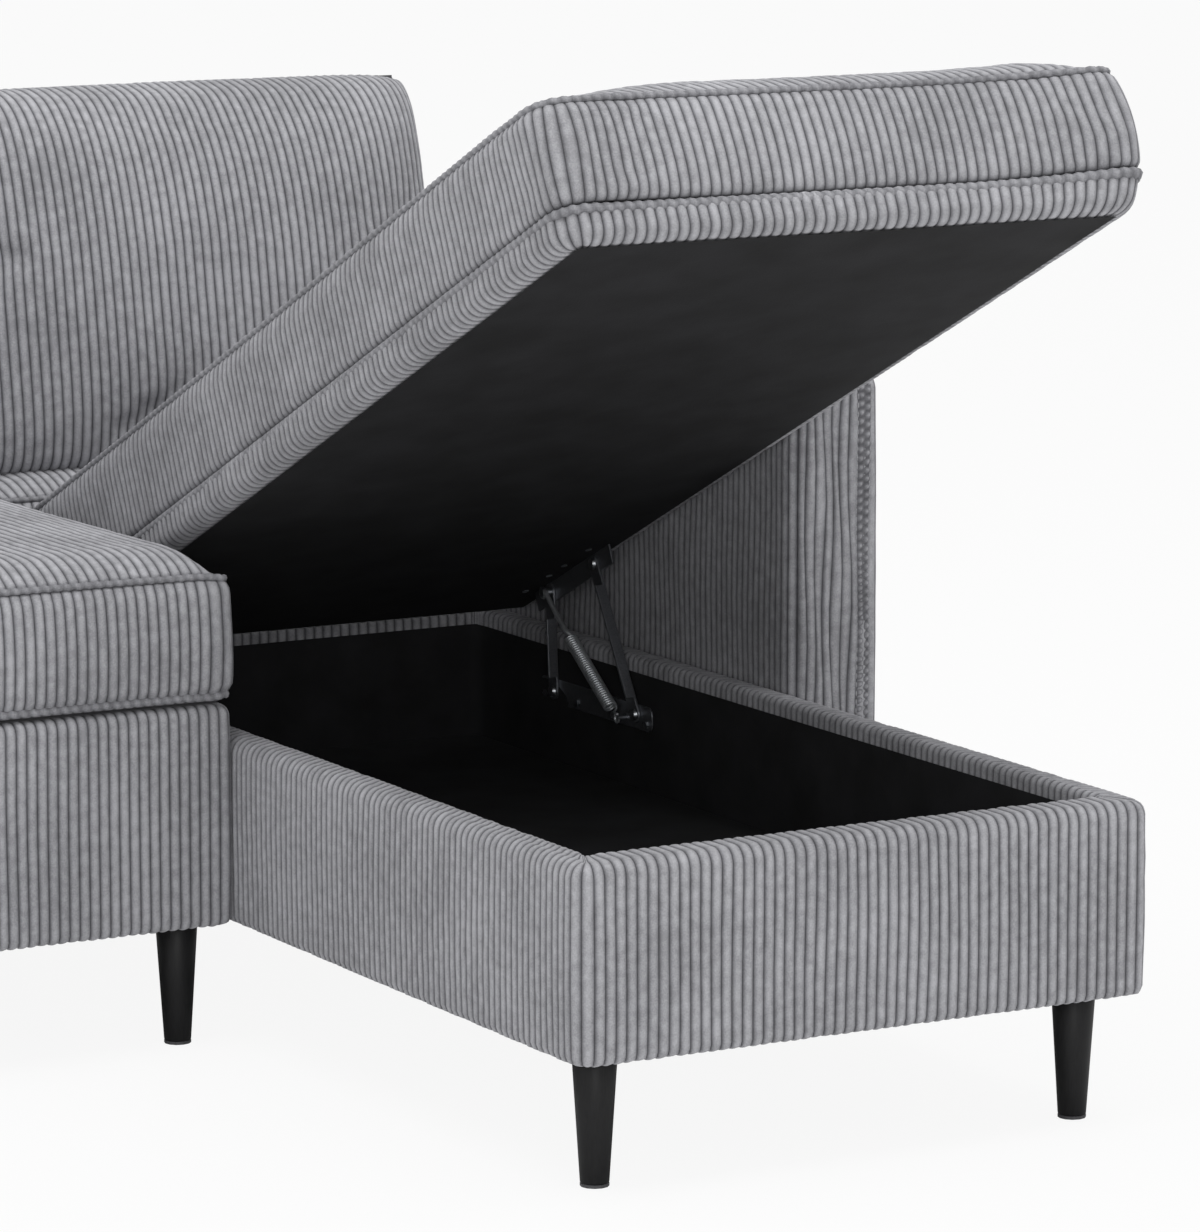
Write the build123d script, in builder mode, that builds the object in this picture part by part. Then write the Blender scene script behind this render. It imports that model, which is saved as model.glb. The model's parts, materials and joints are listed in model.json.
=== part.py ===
from build123d import *
import os
from math import atan2, cos, degrees, hypot, pi, radians, sin, tan

# Sectional sofa with a lift-up storage chaise on the right, in millimetres.
# The origin is on the floor under the middle of the sofa. +X is right and +Y is back, seen from
# the front, and +Z is up. The storage lid stands open at rest.

# Overall plan
chaise_width = 610.0
seat_width = 645.0
seat_places = 2
arm_thickness = 100.0
overall_depth = 1580.0
main_setback = 690.0  # chaise front to the front of the main seat unit
arm_setback = 645.0  # chaise front to the front of the arms
storage_length = 1294.0  # storage box, outside front to outside rear
unit_gap = 0.5  # between neighbouring units, pulled tight

# Heights above the floor and above each other
leg_height = 125.0
storage_height = 185.0
main_base_height = 219.0
arm_height = 640.0
back_height = 720.0
seat_level = 482.0  # crown of every seat cushion
back_cushion_length = 400.0

# Upholstered walls, from the outside in: padded cover, board, lining
padding = 14.0
rim_padding = 10.0
side_board = 18.0
front_board = 30.0
lining = 4.0
rim_turn_in = 8.0  # cover turned down inside the storage box
storage_floor_thickness = 12.0
storage_floor_height = 30.0  # underside of the floor above the bottom of the walls
corner_radius = 18.0
rim_radius = 8.0

# Main seat base
rail = 22.0
rail_cover = 10.0
cover_lip = 6.0
webbing = 2.0
webbing_width = 70.0
webbing_per_seat = 4
cloth = 1.5

# Back and arms
back_foot_depth = 100.0
back_lean = 6.0
back_padding = 20.0
back_frame_thickness = 22.0
back_windows = 6
arm_padding = 32.0
arm_top_padding = 30.0
arm_radius = 26.0
arm_top_radius = 24.0
arm_windows = 3
frame_rail = 60.0

# Cushions
cushion_gap = 3.0
cushion_corner = 30.0
cushion_draw = 7.0  # how far a side pulls in between its corners
cushion_foot = 14.0  # lower piping above the foot
foot_inset = 10.0
piping_inset = 3.0
shoulder_inset = 42.0
shoulder_share = 0.6  # of the crown, reached at the shoulder
crown_inset = 120.0
rear_pad_crown_inset = 60.0
seat_crown = 16.0
back_cushion_thickness = 150.0
back_foot_inset = 26.0
back_sink = 14.0  # the rounded foot lets the cushion sit lower
back_belly = 30.0
back_belly_inset = 7.0
back_shoulder = 40.0
back_crown = 14.0
back_crown_inset = 34.0
back_face_inset = 80.0
soft_gap = 0.3

# Lid
lid_clearance = 3.0  # to the arm and to the main unit
lid_rest_gap = 0.5  # to the rim when shut
lid_border = 33.5
lid_border_wall = 6.0
lid_corner = 30.0
lid_foot_round = 13.0
batten_round = 10.0
lid_cushion_side = 97.5  # lid cushion from its foot to the seam under its crown
lid_lip = 25.0
lid_panel_thickness = 18.0
lid_batten_width = 60.0
lid_rear_gap = 6.5  # to the fixed pad behind it when shut

# Lift linkage
lid_tilt = 24.9  # opening angle
lift_forward = 86.1  # how far the rear lid pivot travels forward
lift_rise = 55.0
rear_pivot_from_end = 119.0  # rear lid pivot to the rear end of the lid
lid_pivot_spacing = 104.4
lid_pivot_drop = 13.0  # pivots below the underside of the lid
rear_base_pivot_above_legs = 120.7
front_base_pivot_above_legs = 123.4
link_thickness = 2.5
link_width = 18.0
link_flange = 9.0
link_gap = 0.4
flange_short = 22.0  # flange ends before the pivots
flange_shift = 6.0
base_plate_height = 26.0
base_plate_overhang = 32.0
base_plate_drop = 1.0
plate_screw_drop = 6.0
plate_screw_outer = 20.5  # outer screws beyond the base pivots
plate_screw_inner = 49.0  # inner screws between them
bracket_thickness = 2.0
bracket_height = 24.0
bracket_foot = 26.0
bracket_overhang = 37.0
bracket_screw_outer = 24.0  # outer screws beyond the lid pivots
bracket_screw_inner = 34.0
bracket_screw_edge = 6.0
pivot_radius = 4.0
pivot_clearance = 0.06
rivet_head_radius = 6.5
rivet_head = 3.0
rivet_taper = 20.0
rivet_gap = 0.3
screw_radius = 2.5
screw_head_radius = 4.0
screw_head = 2.2
hook_stud_radius = 3.0
hook_stud_behind = 24.0  # spring stud behind the front base pivot
hook_stud_drop = 7.0  # and below it, clear of the front link when shut

# Extension springs
wire = 2.4
coil_radius = 5.2
coil_turns = 16.5
hook_clearance = 0.3
hook_run = 24.0
hook_tuck = 0.2
coil_offset = 7.4  # coil axis inboard of the links
wire_sides = 4
hook_gap = 0.4  # stud end to coil axis

# Legs
leg_top_radius = 21.0
leg_foot_radius = 13.4
leg_side_inset = 48.0
leg_front_inset = 57.0
main_leg_inset = 40.0
main_leg_front_inset = 50.0
rear_leg_inset = 50.0
leg_plate = 2.0
leg_plate_size = 58.0
glide = 3.0
glide_sides = 12
hanger_radius = 4.0
hanger_length = 24.0
block_size = 62.0
block_height = 30.0
strap_length = 110.0
strap_width = 40.0
strap_thickness = 3.0
strap_spacing = 360.0
cloth_inset = 12.0

# Places worked out from the sizes above
right_x = arm_thickness + (chaise_width + seat_places * seat_width + 3 * unit_gap) / 2
left_x = -right_x
chaise_x1 = right_x - arm_thickness - unit_gap
chaise_x0 = chaise_x1 - chaise_width
chaise_x = (chaise_x0 + chaise_x1) / 2
main_x1 = chaise_x0 - unit_gap
main_x0 = main_x1 - seat_places * seat_width
front_y = -overall_depth / 2
back_y = overall_depth / 2
storage_y1 = front_y + storage_length
main_y0 = front_y + main_setback
arm_y0 = front_y + arm_setback
back_y0 = back_y - back_foot_depth
base_y1 = back_y0 - unit_gap
pad_y0 = storage_y1 + unit_gap
rim_z = leg_height + storage_height
main_top = leg_height + main_base_height
side_wall = padding + side_board + lining
board_top = rim_z - rim_padding
floor_top = leg_height + storage_floor_height + storage_floor_thickness
lining_top = board_top - rim_turn_in

os.makedirs("parts", exist_ok=True)


def save(builder, name):
    """Names a finished piece and writes its file."""
    builder.part.label = name
    export_step(builder.part, f"parts/{name}.step")


def board(name, x, y, z, ease=2.0):
    """A sawn panel between three pairs of limits, with its upright edges eased."""
    with BuildPart() as panel:
        with BuildSketch(Plane.XY.offset(z[0])):
            with Locations(((x[0] + x[1]) / 2, (y[0] + y[1]) / 2)):
                RectangleRounded(x[1] - x[0], y[1] - y[0], ease)
        extrude(amount=z[1] - z[0])
    save(panel, name)


def cushion(name, plane, width, depth, layers, corner):
    """A cushion on a plane: a ruled loft through outlines whose sides pull in between the corners.

    Each layer is a height and an inset from the full outline."""
    diagonal = 1 - cos(radians(45))
    with BuildPart() as pad:
        for height, inset in layers:
            w = width / 2 - inset
            d = depth / 2 - inset
            c = corner
            k = corner * diagonal
            pull = cushion_draw
            with BuildSketch(plane.offset(height)):
                with BuildLine():
                    ThreePointArc((c - w, -d), (0, pull - d), (w - c, -d))
                    ThreePointArc((w - c, -d), (w - k, k - d), (w, c - d))
                    ThreePointArc((w, c - d), (w - pull, 0), (w, d - c))
                    ThreePointArc((w, d - c), (w - k, d - k), (w - c, d))
                    ThreePointArc((w - c, d), (0, d - pull), (c - w, d))
                    ThreePointArc((c - w, d), (k - w, d - k), (-w, d - c))
                    ThreePointArc((-w, d - c), (pull - w, 0), (-w, c - d))
                    ThreePointArc((-w, c - d), (k - w, k - d), (c - w, -d))
                make_face()
        loft(ruled=True)
    save(pad, name)


def seat_layers(border, crown):
    """Heights and insets of a boxed seat cushion with piping above its foot and under its crown."""
    return [
        (0, foot_inset),
        (cushion_foot, piping_inset),
        ((cushion_foot + border) / 2, 0),
        (border, piping_inset),
        (border + shoulder_share * crown, shoulder_inset),
        (border + crown, crown_inset),
    ]


# Storage box of the chaise: four boards under one padded cover
box_x = (chaise_x0 + padding, chaise_x1 - padding)
box_y = (front_y + padding, storage_y1 - padding)
inner_x = (box_x[0] + side_board, box_x[1] - side_board)
inner_y = (box_y[0] + front_board, box_y[1] - side_board)
board_z = (leg_height, board_top)
board("chaise_front_board", box_x, (box_y[0], inner_y[0]), board_z)
board("chaise_rear_board", box_x, (inner_y[1], box_y[1]), board_z)
board("chaise_left_board", (box_x[0], inner_x[0]), inner_y, board_z)
board("chaise_right_board", (inner_x[1], box_x[1]), inner_y, board_z)
floor_z = leg_height + storage_floor_height
board("storage_floor", inner_x, inner_y, (floor_z, floor_top))

open_width = inner_x[1] - inner_x[0] - 2 * lining
open_depth = inner_y[1] - inner_y[0] - 2 * lining
open_middle = (chaise_x, (inner_y[0] + inner_y[1]) / 2)
box_middle = (chaise_x, (front_y + storage_y1) / 2)

with BuildPart() as chaise_cover:
    with BuildSketch(Plane.XY.offset(leg_height)):
        with Locations(box_middle):
            RectangleRounded(chaise_width, storage_length, corner_radius)
    extrude(amount=storage_height)
    fillet(chaise_cover.edges().group_by(Axis.Z)[-1], rim_radius)
    with BuildSketch(Plane.XY.offset(leg_height)):
        with Locations(box_middle):
            Rectangle(box_x[1] - box_x[0], box_y[1] - box_y[0])
    extrude(amount=lining_top - leg_height, mode=Mode.SUBTRACT)
    with BuildSketch(Plane.XY.offset(lining_top)):
        with Locations(box_middle):
            Rectangle(box_x[1] - box_x[0], box_y[1] - box_y[0])
        with Locations(open_middle):
            Rectangle(open_width + 2 * lining, open_depth + 2 * lining, mode=Mode.SUBTRACT)
    extrude(amount=board_top - lining_top, mode=Mode.SUBTRACT)
    with BuildSketch(Plane.XY.offset(lining_top)):
        with Locations(open_middle):
            Rectangle(open_width, open_depth)
    extrude(amount=rim_z - lining_top, mode=Mode.SUBTRACT)
save(chaise_cover, "chaise_cover")

with BuildPart() as storage_lining:
    with BuildSketch(Plane.XY.offset(floor_top)):
        with Locations(open_middle):
            Rectangle(open_width + 2 * lining, open_depth + 2 * lining)
    extrude(amount=lining_top - floor_top)
    with BuildSketch(Plane.XY.offset(floor_top + cloth)):
        with Locations(open_middle):
            Rectangle(open_width, open_depth)
    extrude(amount=lining_top - floor_top, mode=Mode.SUBTRACT)
save(storage_lining, "storage_lining")

# Fixed rear end of the chaise: a boxed deck behind the storage, with a padded front and a seat pad
deck_y0 = pad_y0 + rail_cover
with BuildPart() as chaise_rear_deck:
    with BuildSketch(Plane.XY.offset(leg_height)):
        with Locations((chaise_x, (deck_y0 + base_y1) / 2)):
            Rectangle(chaise_width, base_y1 - deck_y0)
    extrude(amount=main_base_height)
    bottom = chaise_rear_deck.faces().sort_by(Axis.Z)[0]
    offset(amount=-rail, openings=bottom)
save(chaise_rear_deck, "chaise_rear_deck")
board("chaise_rear_panel", (chaise_x0, chaise_x1), (pad_y0, deck_y0), (leg_height, main_top))

seat_border = seat_level - main_top - seat_crown - soft_gap
pad_depth = base_y1 - pad_y0
pad_width = chaise_width - 2 * cushion_gap
pad_plane = Plane((chaise_x, (pad_y0 + base_y1) / 2, main_top + soft_gap))
pad_layers = seat_layers(seat_border, seat_crown)[:-1] + [(seat_border + seat_crown, rear_pad_crown_inset)]
cushion("chaise_rear_pad", pad_plane, pad_width, pad_depth - cushion_gap, pad_layers, cushion_corner / 2)

# Main seat unit: rails under a wrapped cover, webbing, and loose seat cushions
rail_x = (main_x0 + rail_cover, main_x1 - rail_cover)
rail_y = (main_y0 + rail_cover, base_y1)
rail_top = main_top - cover_lip - webbing
rail_z = (leg_height, rail_top)
side_rail_y = (rail_y[0] + rail, rail_y[1] - rail)
board("main_front_rail", rail_x, (rail_y[0], side_rail_y[0]), rail_z)
board("main_rear_rail", rail_x, (side_rail_y[1], rail_y[1]), rail_z)
board("main_left_rail", (rail_x[0], rail_x[0] + rail), side_rail_y, rail_z)
board("main_right_rail", (rail_x[1] - rail, rail_x[1]), side_rail_y, rail_z)

main_middle = ((main_x0 + main_x1) / 2, (main_y0 + base_y1) / 2)
main_width = main_x1 - main_x0
main_depth = base_y1 - main_y0
with BuildPart() as main_cover:
    with BuildSketch(Plane.XY.offset(leg_height)):
        with Locations(main_middle):
            RectangleRounded(main_width, main_depth, corner_radius / 2)
    extrude(amount=main_base_height)
    fillet(main_cover.edges().group_by(Axis.Z)[-1], cover_lip / 2)
    with BuildSketch(Plane.XY.offset(leg_height)):
        with Locations((main_middle[0], (rail_y[0] + base_y1) / 2)):
            Rectangle(rail_x[1] - rail_x[0], rail_y[1] - rail_y[0])
    extrude(amount=main_base_height - cover_lip, mode=Mode.SUBTRACT)
    with BuildSketch(Plane.XY.offset(leg_height)):
        with Locations((main_middle[0], (side_rail_y[0] + base_y1) / 2)):
            Rectangle(rail_x[1] - rail_x[0] - 2 * rail, base_y1 - side_rail_y[0])
    extrude(amount=main_base_height, mode=Mode.SUBTRACT)
save(main_cover, "main_cover")

with BuildPart() as seat_webbing:
    straps = seat_places * webbing_per_seat
    with BuildSketch(Plane.XY.offset(rail_top)):
        with Locations((main_middle[0], (rail_y[0] + rail_y[1]) / 2)):
            with GridLocations((rail_x[1] - rail_x[0] - 2 * rail) / straps, 1, straps, 1):
                Rectangle(webbing_width, rail_y[1] - rail_y[0] - rail)
    extrude(amount=webbing)
save(seat_webbing, "seat_webbing")

seat_depth = base_y1 - main_y0 - cushion_gap
for place, side in enumerate(("left", "right")):
    seat_plane = Plane((main_x0 + seat_width * (place + 0.5), main_middle[1], main_top + soft_gap))
    cushion(
        f"seat_cushion_{side}",
        seat_plane,
        seat_width - cushion_gap,
        seat_depth,
        seat_layers(seat_border, seat_crown),
        cushion_corner,
    )

# Back: a ladder frame inside a padded cover, with one loose cushion for each place
back_middle_x = (main_x0 + chaise_x1) / 2
back_width = chaise_x1 - main_x0
back_lean_rise = back_height - seat_level
back_top_y0 = back_y0 + back_lean_rise * tan(radians(back_lean))
frame_y1 = back_y - back_padding
frame_y0 = frame_y1 - back_frame_thickness
frame_top = back_height - back_padding
frame_width = back_width - 2 * back_padding

with BuildPart() as back_frame:
    with BuildSketch(Plane.XZ.offset(-frame_y1)):
        frame_middle = (back_middle_x, (leg_height + frame_top) / 2)
        with Locations(frame_middle):
            Rectangle(frame_width, frame_top - leg_height)
            bay = (frame_width - frame_rail) / back_windows
            with GridLocations(bay, 1, back_windows, 1):
                Rectangle(bay - frame_rail, frame_top - leg_height - 2 * frame_rail, mode=Mode.SUBTRACT)
    extrude(amount=back_frame_thickness)
save(back_frame, "back_frame")

with BuildPart() as back_cover:
    with BuildSketch(Plane.YZ.offset(main_x0)):
        with BuildLine():
            Polyline(
                (back_y0, leg_height),
                (back_y, leg_height),
                (back_y, back_height),
                (back_top_y0, back_height),
                (back_y0, seat_level),
                close=True,
            )
        make_face()
    extrude(amount=back_width)
    fillet(back_cover.edges().group_by(Axis.Z)[-1], corner_radius)
    with BuildSketch(Plane.XZ.offset(-frame_y1)):
        with Locations(frame_middle):
            Rectangle(frame_width, frame_top - leg_height)
    extrude(amount=back_frame_thickness, mode=Mode.SUBTRACT)
save(back_cover, "back_cover")

lean = radians(back_lean)
back_places = [
    ("back_cushion_left", main_x0 + seat_width / 2, seat_width),
    ("back_cushion_middle", main_x0 + seat_width * 1.5, seat_width),
    ("back_cushion_right", chaise_x, chaise_width),
]
back_layers = [
    (0, back_foot_inset),
    (back_belly, back_belly_inset),
    (back_cushion_thickness / 2, 0),
    (back_cushion_thickness - back_shoulder, back_belly_inset),
    (back_cushion_thickness - back_crown, back_crown_inset),
    (back_cushion_thickness, back_face_inset),
]
back_foot_z = seat_level + soft_gap + back_cushion_thickness * sin(lean) - back_sink
for name, x, width in back_places:
    along = back_cushion_length / 2
    rise = back_foot_z + along * cos(lean)
    back_plane = Plane(
        origin=(x, back_y0 - soft_gap + (rise - seat_level) * tan(lean), rise),
        x_dir=(-1, 0, 0),
        z_dir=(0, -cos(lean), sin(lean)),
    )
    cushion(name, back_plane, width - 2 * cushion_gap, back_cushion_length, back_layers, 2 * cushion_corner)

# Arms: a slatted frame in a padded cover with round front and top edges
for side, arm_x0 in (("left", left_x), ("right", chaise_x1 + unit_gap)):
    frame_x0 = arm_x0 + arm_padding
    frame_thickness = arm_thickness - 2 * arm_padding
    frame_y = (arm_y0 + arm_padding, back_y - arm_padding)
    frame_z = (leg_height, arm_height - arm_top_padding)
    middle = ((frame_y[0] + frame_y[1]) / 2, (frame_z[0] + frame_z[1]) / 2)
    with BuildPart() as arm_frame:
        with BuildSketch(Plane.YZ.offset(frame_x0)):
            with Locations(middle):
                Rectangle(frame_y[1] - frame_y[0], frame_z[1] - frame_z[0])
                bay = (frame_y[1] - frame_y[0] - frame_rail) / arm_windows
                with GridLocations(bay, 1, arm_windows, 1):
                    Rectangle(bay - frame_rail, frame_z[1] - frame_z[0] - 2 * frame_rail, mode=Mode.SUBTRACT)
        extrude(amount=frame_thickness)
    save(arm_frame, f"arm_frame_{side}")
    with BuildPart() as arm_cover:
        with BuildSketch(Plane.XY.offset(leg_height)):
            with Locations((arm_x0 + arm_thickness / 2, (arm_y0 + back_y) / 2)):
                RectangleRounded(arm_thickness, back_y - arm_y0, arm_radius)
        extrude(amount=arm_height - leg_height)
        fillet(arm_cover.edges().group_by(Axis.Z)[-1], arm_top_radius)
        with BuildSketch(Plane.YZ.offset(frame_x0)):
            with Locations(middle):
                Rectangle(frame_y[1] - frame_y[0], frame_z[1] - frame_z[0])
        extrude(amount=frame_thickness, mode=Mode.SUBTRACT)
    save(arm_cover, f"arm_cover_{side}")

# Lift linkage: where the pivots stand with the lid shut and open, as (y, z)
tilt = radians(lid_tilt)
lid_length = storage_length - lid_rear_gap + unit_gap
lid_width = chaise_width - 2 * lid_clearance
shut_z = rim_z + lid_rest_gap
rear_run = lid_length - rear_pivot_from_end
front_run = rear_run - lid_pivot_spacing
rear_shut = Vector(front_y + rear_run, shut_z - lid_pivot_drop)
front_shut = rear_shut - Vector(lid_pivot_spacing, 0)
rear_open = rear_shut + Vector(-lift_forward, lift_rise)
front_open = rear_open + Vector(-lid_pivot_spacing * cos(tilt), lid_pivot_spacing * sin(tilt))


def base_pivot(first, second, height):
    """The point at a height that is as far from one place of a lid pivot as from the other."""
    middle = (first + second) / 2
    travel = second - first
    across = Vector(-travel.Y, travel.X)
    return middle + across * ((height - middle.Y) / across.Y)


rear_base = base_pivot(rear_open, rear_shut, leg_height + rear_base_pivot_above_legs)
front_base = base_pivot(front_open, front_shut, leg_height + front_base_pivot_above_legs)


def turn(pivot, start, end):
    """Angle in degrees from one place of a link's far end to another."""
    return degrees(atan2(end.Y - pivot.Y, end.X - pivot.X) - atan2(start.Y - pivot.Y, start.X - pivot.X))


rear_turn = turn(rear_base, rear_open, rear_shut)
front_turn = turn(front_base, front_open, front_shut)
print("rear base pivot", rear_base, "front base pivot", front_base)
print("rear lid pivot open", rear_open, "front lid pivot open", front_open)
print("rear link turn", rear_turn, "front link turn", front_turn, "lid turn", lid_tilt)

# Lid, built on its own plane: the origin is the middle of the front lower edge when open
lid_origin = rear_open + Vector(-rear_run * cos(tilt), rear_run * sin(tilt))
lid_origin = lid_origin + Vector(lid_pivot_drop * sin(tilt), lid_pivot_drop * cos(tilt))
lid_plane = Plane(
    origin=(chaise_x, lid_origin.X, lid_origin.Y),
    x_dir=(1, 0, 0),
    z_dir=(0, sin(tilt), cos(tilt)),
)
print("lid front edge open", lid_origin)
lid_middle = (0, lid_length / 2)
batten_top = lid_border - lid_panel_thickness

lid_up = Axis(lid_plane.origin, lid_plane.z_dir)
inner_lid = (lid_width - 2 * lid_border_wall, lid_length - 2 * lid_border_wall)
inner_corner = lid_corner - lid_border_wall

# What the border goes round: the battens and the panel on them, with a rounded foot
with BuildPart() as lid_core:
    with BuildSketch(lid_plane.offset(cloth)):
        with Locations(lid_middle):
            RectangleRounded(*inner_lid, inner_corner)
    extrude(amount=lid_border - cloth)
    fillet(lid_core.edges().group_by(lid_up)[0], batten_round)

with BuildPart() as lid_border_band:
    with BuildSketch(lid_plane):
        with Locations(lid_middle):
            RectangleRounded(lid_width, lid_length, lid_corner)
    extrude(amount=lid_border)
    fillet(lid_border_band.edges().group_by(lid_up)[0], lid_foot_round)
    add(lid_core.part, mode=Mode.SUBTRACT)
    with BuildSketch(lid_plane):
        with Locations(lid_middle):
            Rectangle(lid_width - 2 * lid_lip, lid_length - 2 * lid_lip)
    extrude(amount=lid_border, mode=Mode.SUBTRACT)
save(lid_border_band, "lid_border")

with BuildPart() as lid_dust_cloth:
    with BuildSketch(lid_plane):
        with Locations(lid_middle):
            Rectangle(lid_width - 2 * lid_lip, lid_length - 2 * lid_lip)
    extrude(amount=cloth)
save(lid_dust_cloth, "lid_dust_cloth")

with BuildPart() as lid_battens:
    add(lid_core.part)
    with BuildSketch(lid_plane.offset(cloth)):
        with Locations(lid_middle):
            Rectangle(inner_lid[0] - 2 * lid_batten_width, inner_lid[1] - 2 * lid_batten_width)
    extrude(amount=lid_border - cloth, mode=Mode.SUBTRACT)
    split(bisect_by=lid_plane.offset(batten_top), keep=Keep.BOTTOM)
save(lid_battens, "lid_battens")

with BuildPart() as lid_panel:
    with BuildSketch(lid_plane.offset(batten_top)):
        with Locations(lid_middle):
            RectangleRounded(*inner_lid, inner_corner)
    extrude(amount=lid_panel_thickness)
save(lid_panel, "lid_panel")

lid_crown = seat_level - shut_z - lid_border - soft_gap - lid_cushion_side
cushion(
    "lid_cushion",
    Plane(lid_plane.from_local_coords((0, lid_length / 2, lid_border + soft_gap)), (1, 0, 0), lid_plane.z_dir),
    lid_width,
    lid_length,
    seat_layers(lid_cushion_side, lid_crown),
    cushion_corner,
)

# Lift mechanism on both side walls. Places across the wall are distances from its outer face.
plate_at = side_wall
link_at = plate_at + link_thickness + link_gap
bracket_at = link_at - rivet_gap - bracket_thickness
link_face = link_at + link_thickness
coil_at = link_face + coil_offset
stud_end = coil_at - hook_gap
head_at = link_face + rivet_gap
hook_stud = front_base + Vector(hook_stud_behind, -hook_stud_drop)
plate_y = (front_base.X - base_plate_overhang, rear_base.X + base_plate_overhang)
plate_z = (rear_base.Y + front_base.Y) / 2 - base_plate_drop
screw_z = plate_z - plate_screw_drop
screw_y = [
    front_base.X - plate_screw_outer,
    front_base.X + plate_screw_inner,
    rear_base.X - plate_screw_inner,
    rear_base.X + plate_screw_outer,
]


def biarc(start, start_way, end, end_way):
    """Two arcs that leave one point and reach another in the given directions, as three-point lists."""
    chord = end - start
    both = start_way + end_way
    a = 2 * (1 - start_way.dot(end_way))
    b = 2 * chord.dot(both)
    c = -chord.dot(chord)
    reach = -c / b if abs(a) < 1e-9 else (-b + (b * b - 4 * a * c) ** 0.5) / (2 * a)
    knee_1 = start + start_way * reach
    knee_2 = end - end_way * reach
    joint = (knee_1 + knee_2) / 2
    arcs = []
    for first, knee, last in ((start, knee_1, joint), (joint, knee_2, end)):
        base = (first + last) / 2
        half = (last - first).length / 2
        rise = knee - base
        if rise.length < 1e-6:
            arcs.append((first, last))
            continue
        sag = half * rise.length / (half + hypot(half, rise.length))
        arcs.append((first, base + rise.normalized() * sag, last))
    return arcs


def spring_path(low, high, across):
    """Centre line of an extension spring from one stud to another: hook, turns and hook.

    Each arc is a list of three points, and a straight run has two."""
    along = (high - low).normalized()
    beside = across.cross(along)
    high_r = pivot_radius + hook_clearance + wire / 2
    low_r = hook_stud_radius + hook_clearance + wire / 2
    span = (high - low).length
    turn_r = coil_radius - wire / 2 - hook_tuck
    start_u = hook_run
    end_u = span - hook_run
    pitch = (end_u - start_u - 2 * turn_r) / coil_turns

    def point(u, v, w):
        return low + along * u + beside * v + across * w

    def helix(t):
        angle = 2 * pi * t
        u = start_u + turn_r + pitch * t
        way = beside * (-coil_radius * sin(angle) * 2 * pi) + across * (coil_radius * cos(angle) * 2 * pi)
        way = (way + along * pitch).normalized()
        return point(u, coil_radius * cos(angle), coil_radius * sin(angle)), way

    def hook(u, radius, angles):
        return [point(u + radius * cos(radians(a)), radius * sin(radians(a)), -turn_r) for a in angles]

    runs = [hook(0, low_r, (300, 247.5, 195)), hook(0, low_r, (195, 142.5, 90))]
    lead = point(start_u, low_r, -turn_r)
    runs.append((point(0, low_r, -turn_r), lead))
    place, way = helix(0)
    runs += biarc(lead, along, place, way)
    steps = int(round(coil_turns * 2))
    for i in range(steps):
        place, way = helix(i / 2)
        next_place, next_way = helix((i + 1) / 2)
        runs += biarc(place, way, next_place, next_way)
    place, way = helix(coil_turns)
    tail = point(end_u, -high_r, -turn_r)
    runs += biarc(place, way, tail, along)
    runs.append((tail, point(span, -high_r, -turn_r)))
    runs += [hook(span, high_r, (-90, -37.5, 15)), hook(span, high_r, (15, 67.5, 120))]
    return runs


def self_gap(edges):
    """Least clear distance between stretches of a wound wire that lie over half a turn apart."""
    points = [edge @ (i / 8) for edge in edges for i in range(8)]
    apart = 16
    least = min(
        (points[i] - points[j]).length
        for i in range(len(points))
        for j in range(i + apart, min(i + 5 * apart, len(points)))
    )
    return least - wire


def on_wall(inboard, wall_x, point, distance):
    """A plane facing inboard on one wall, at a point (y, z) and a distance from its outer face."""
    return Plane((wall_x + inboard * distance, point.X, point.Y), x_dir=(0, 1, 0), z_dir=(inboard, 0, 0))


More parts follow.
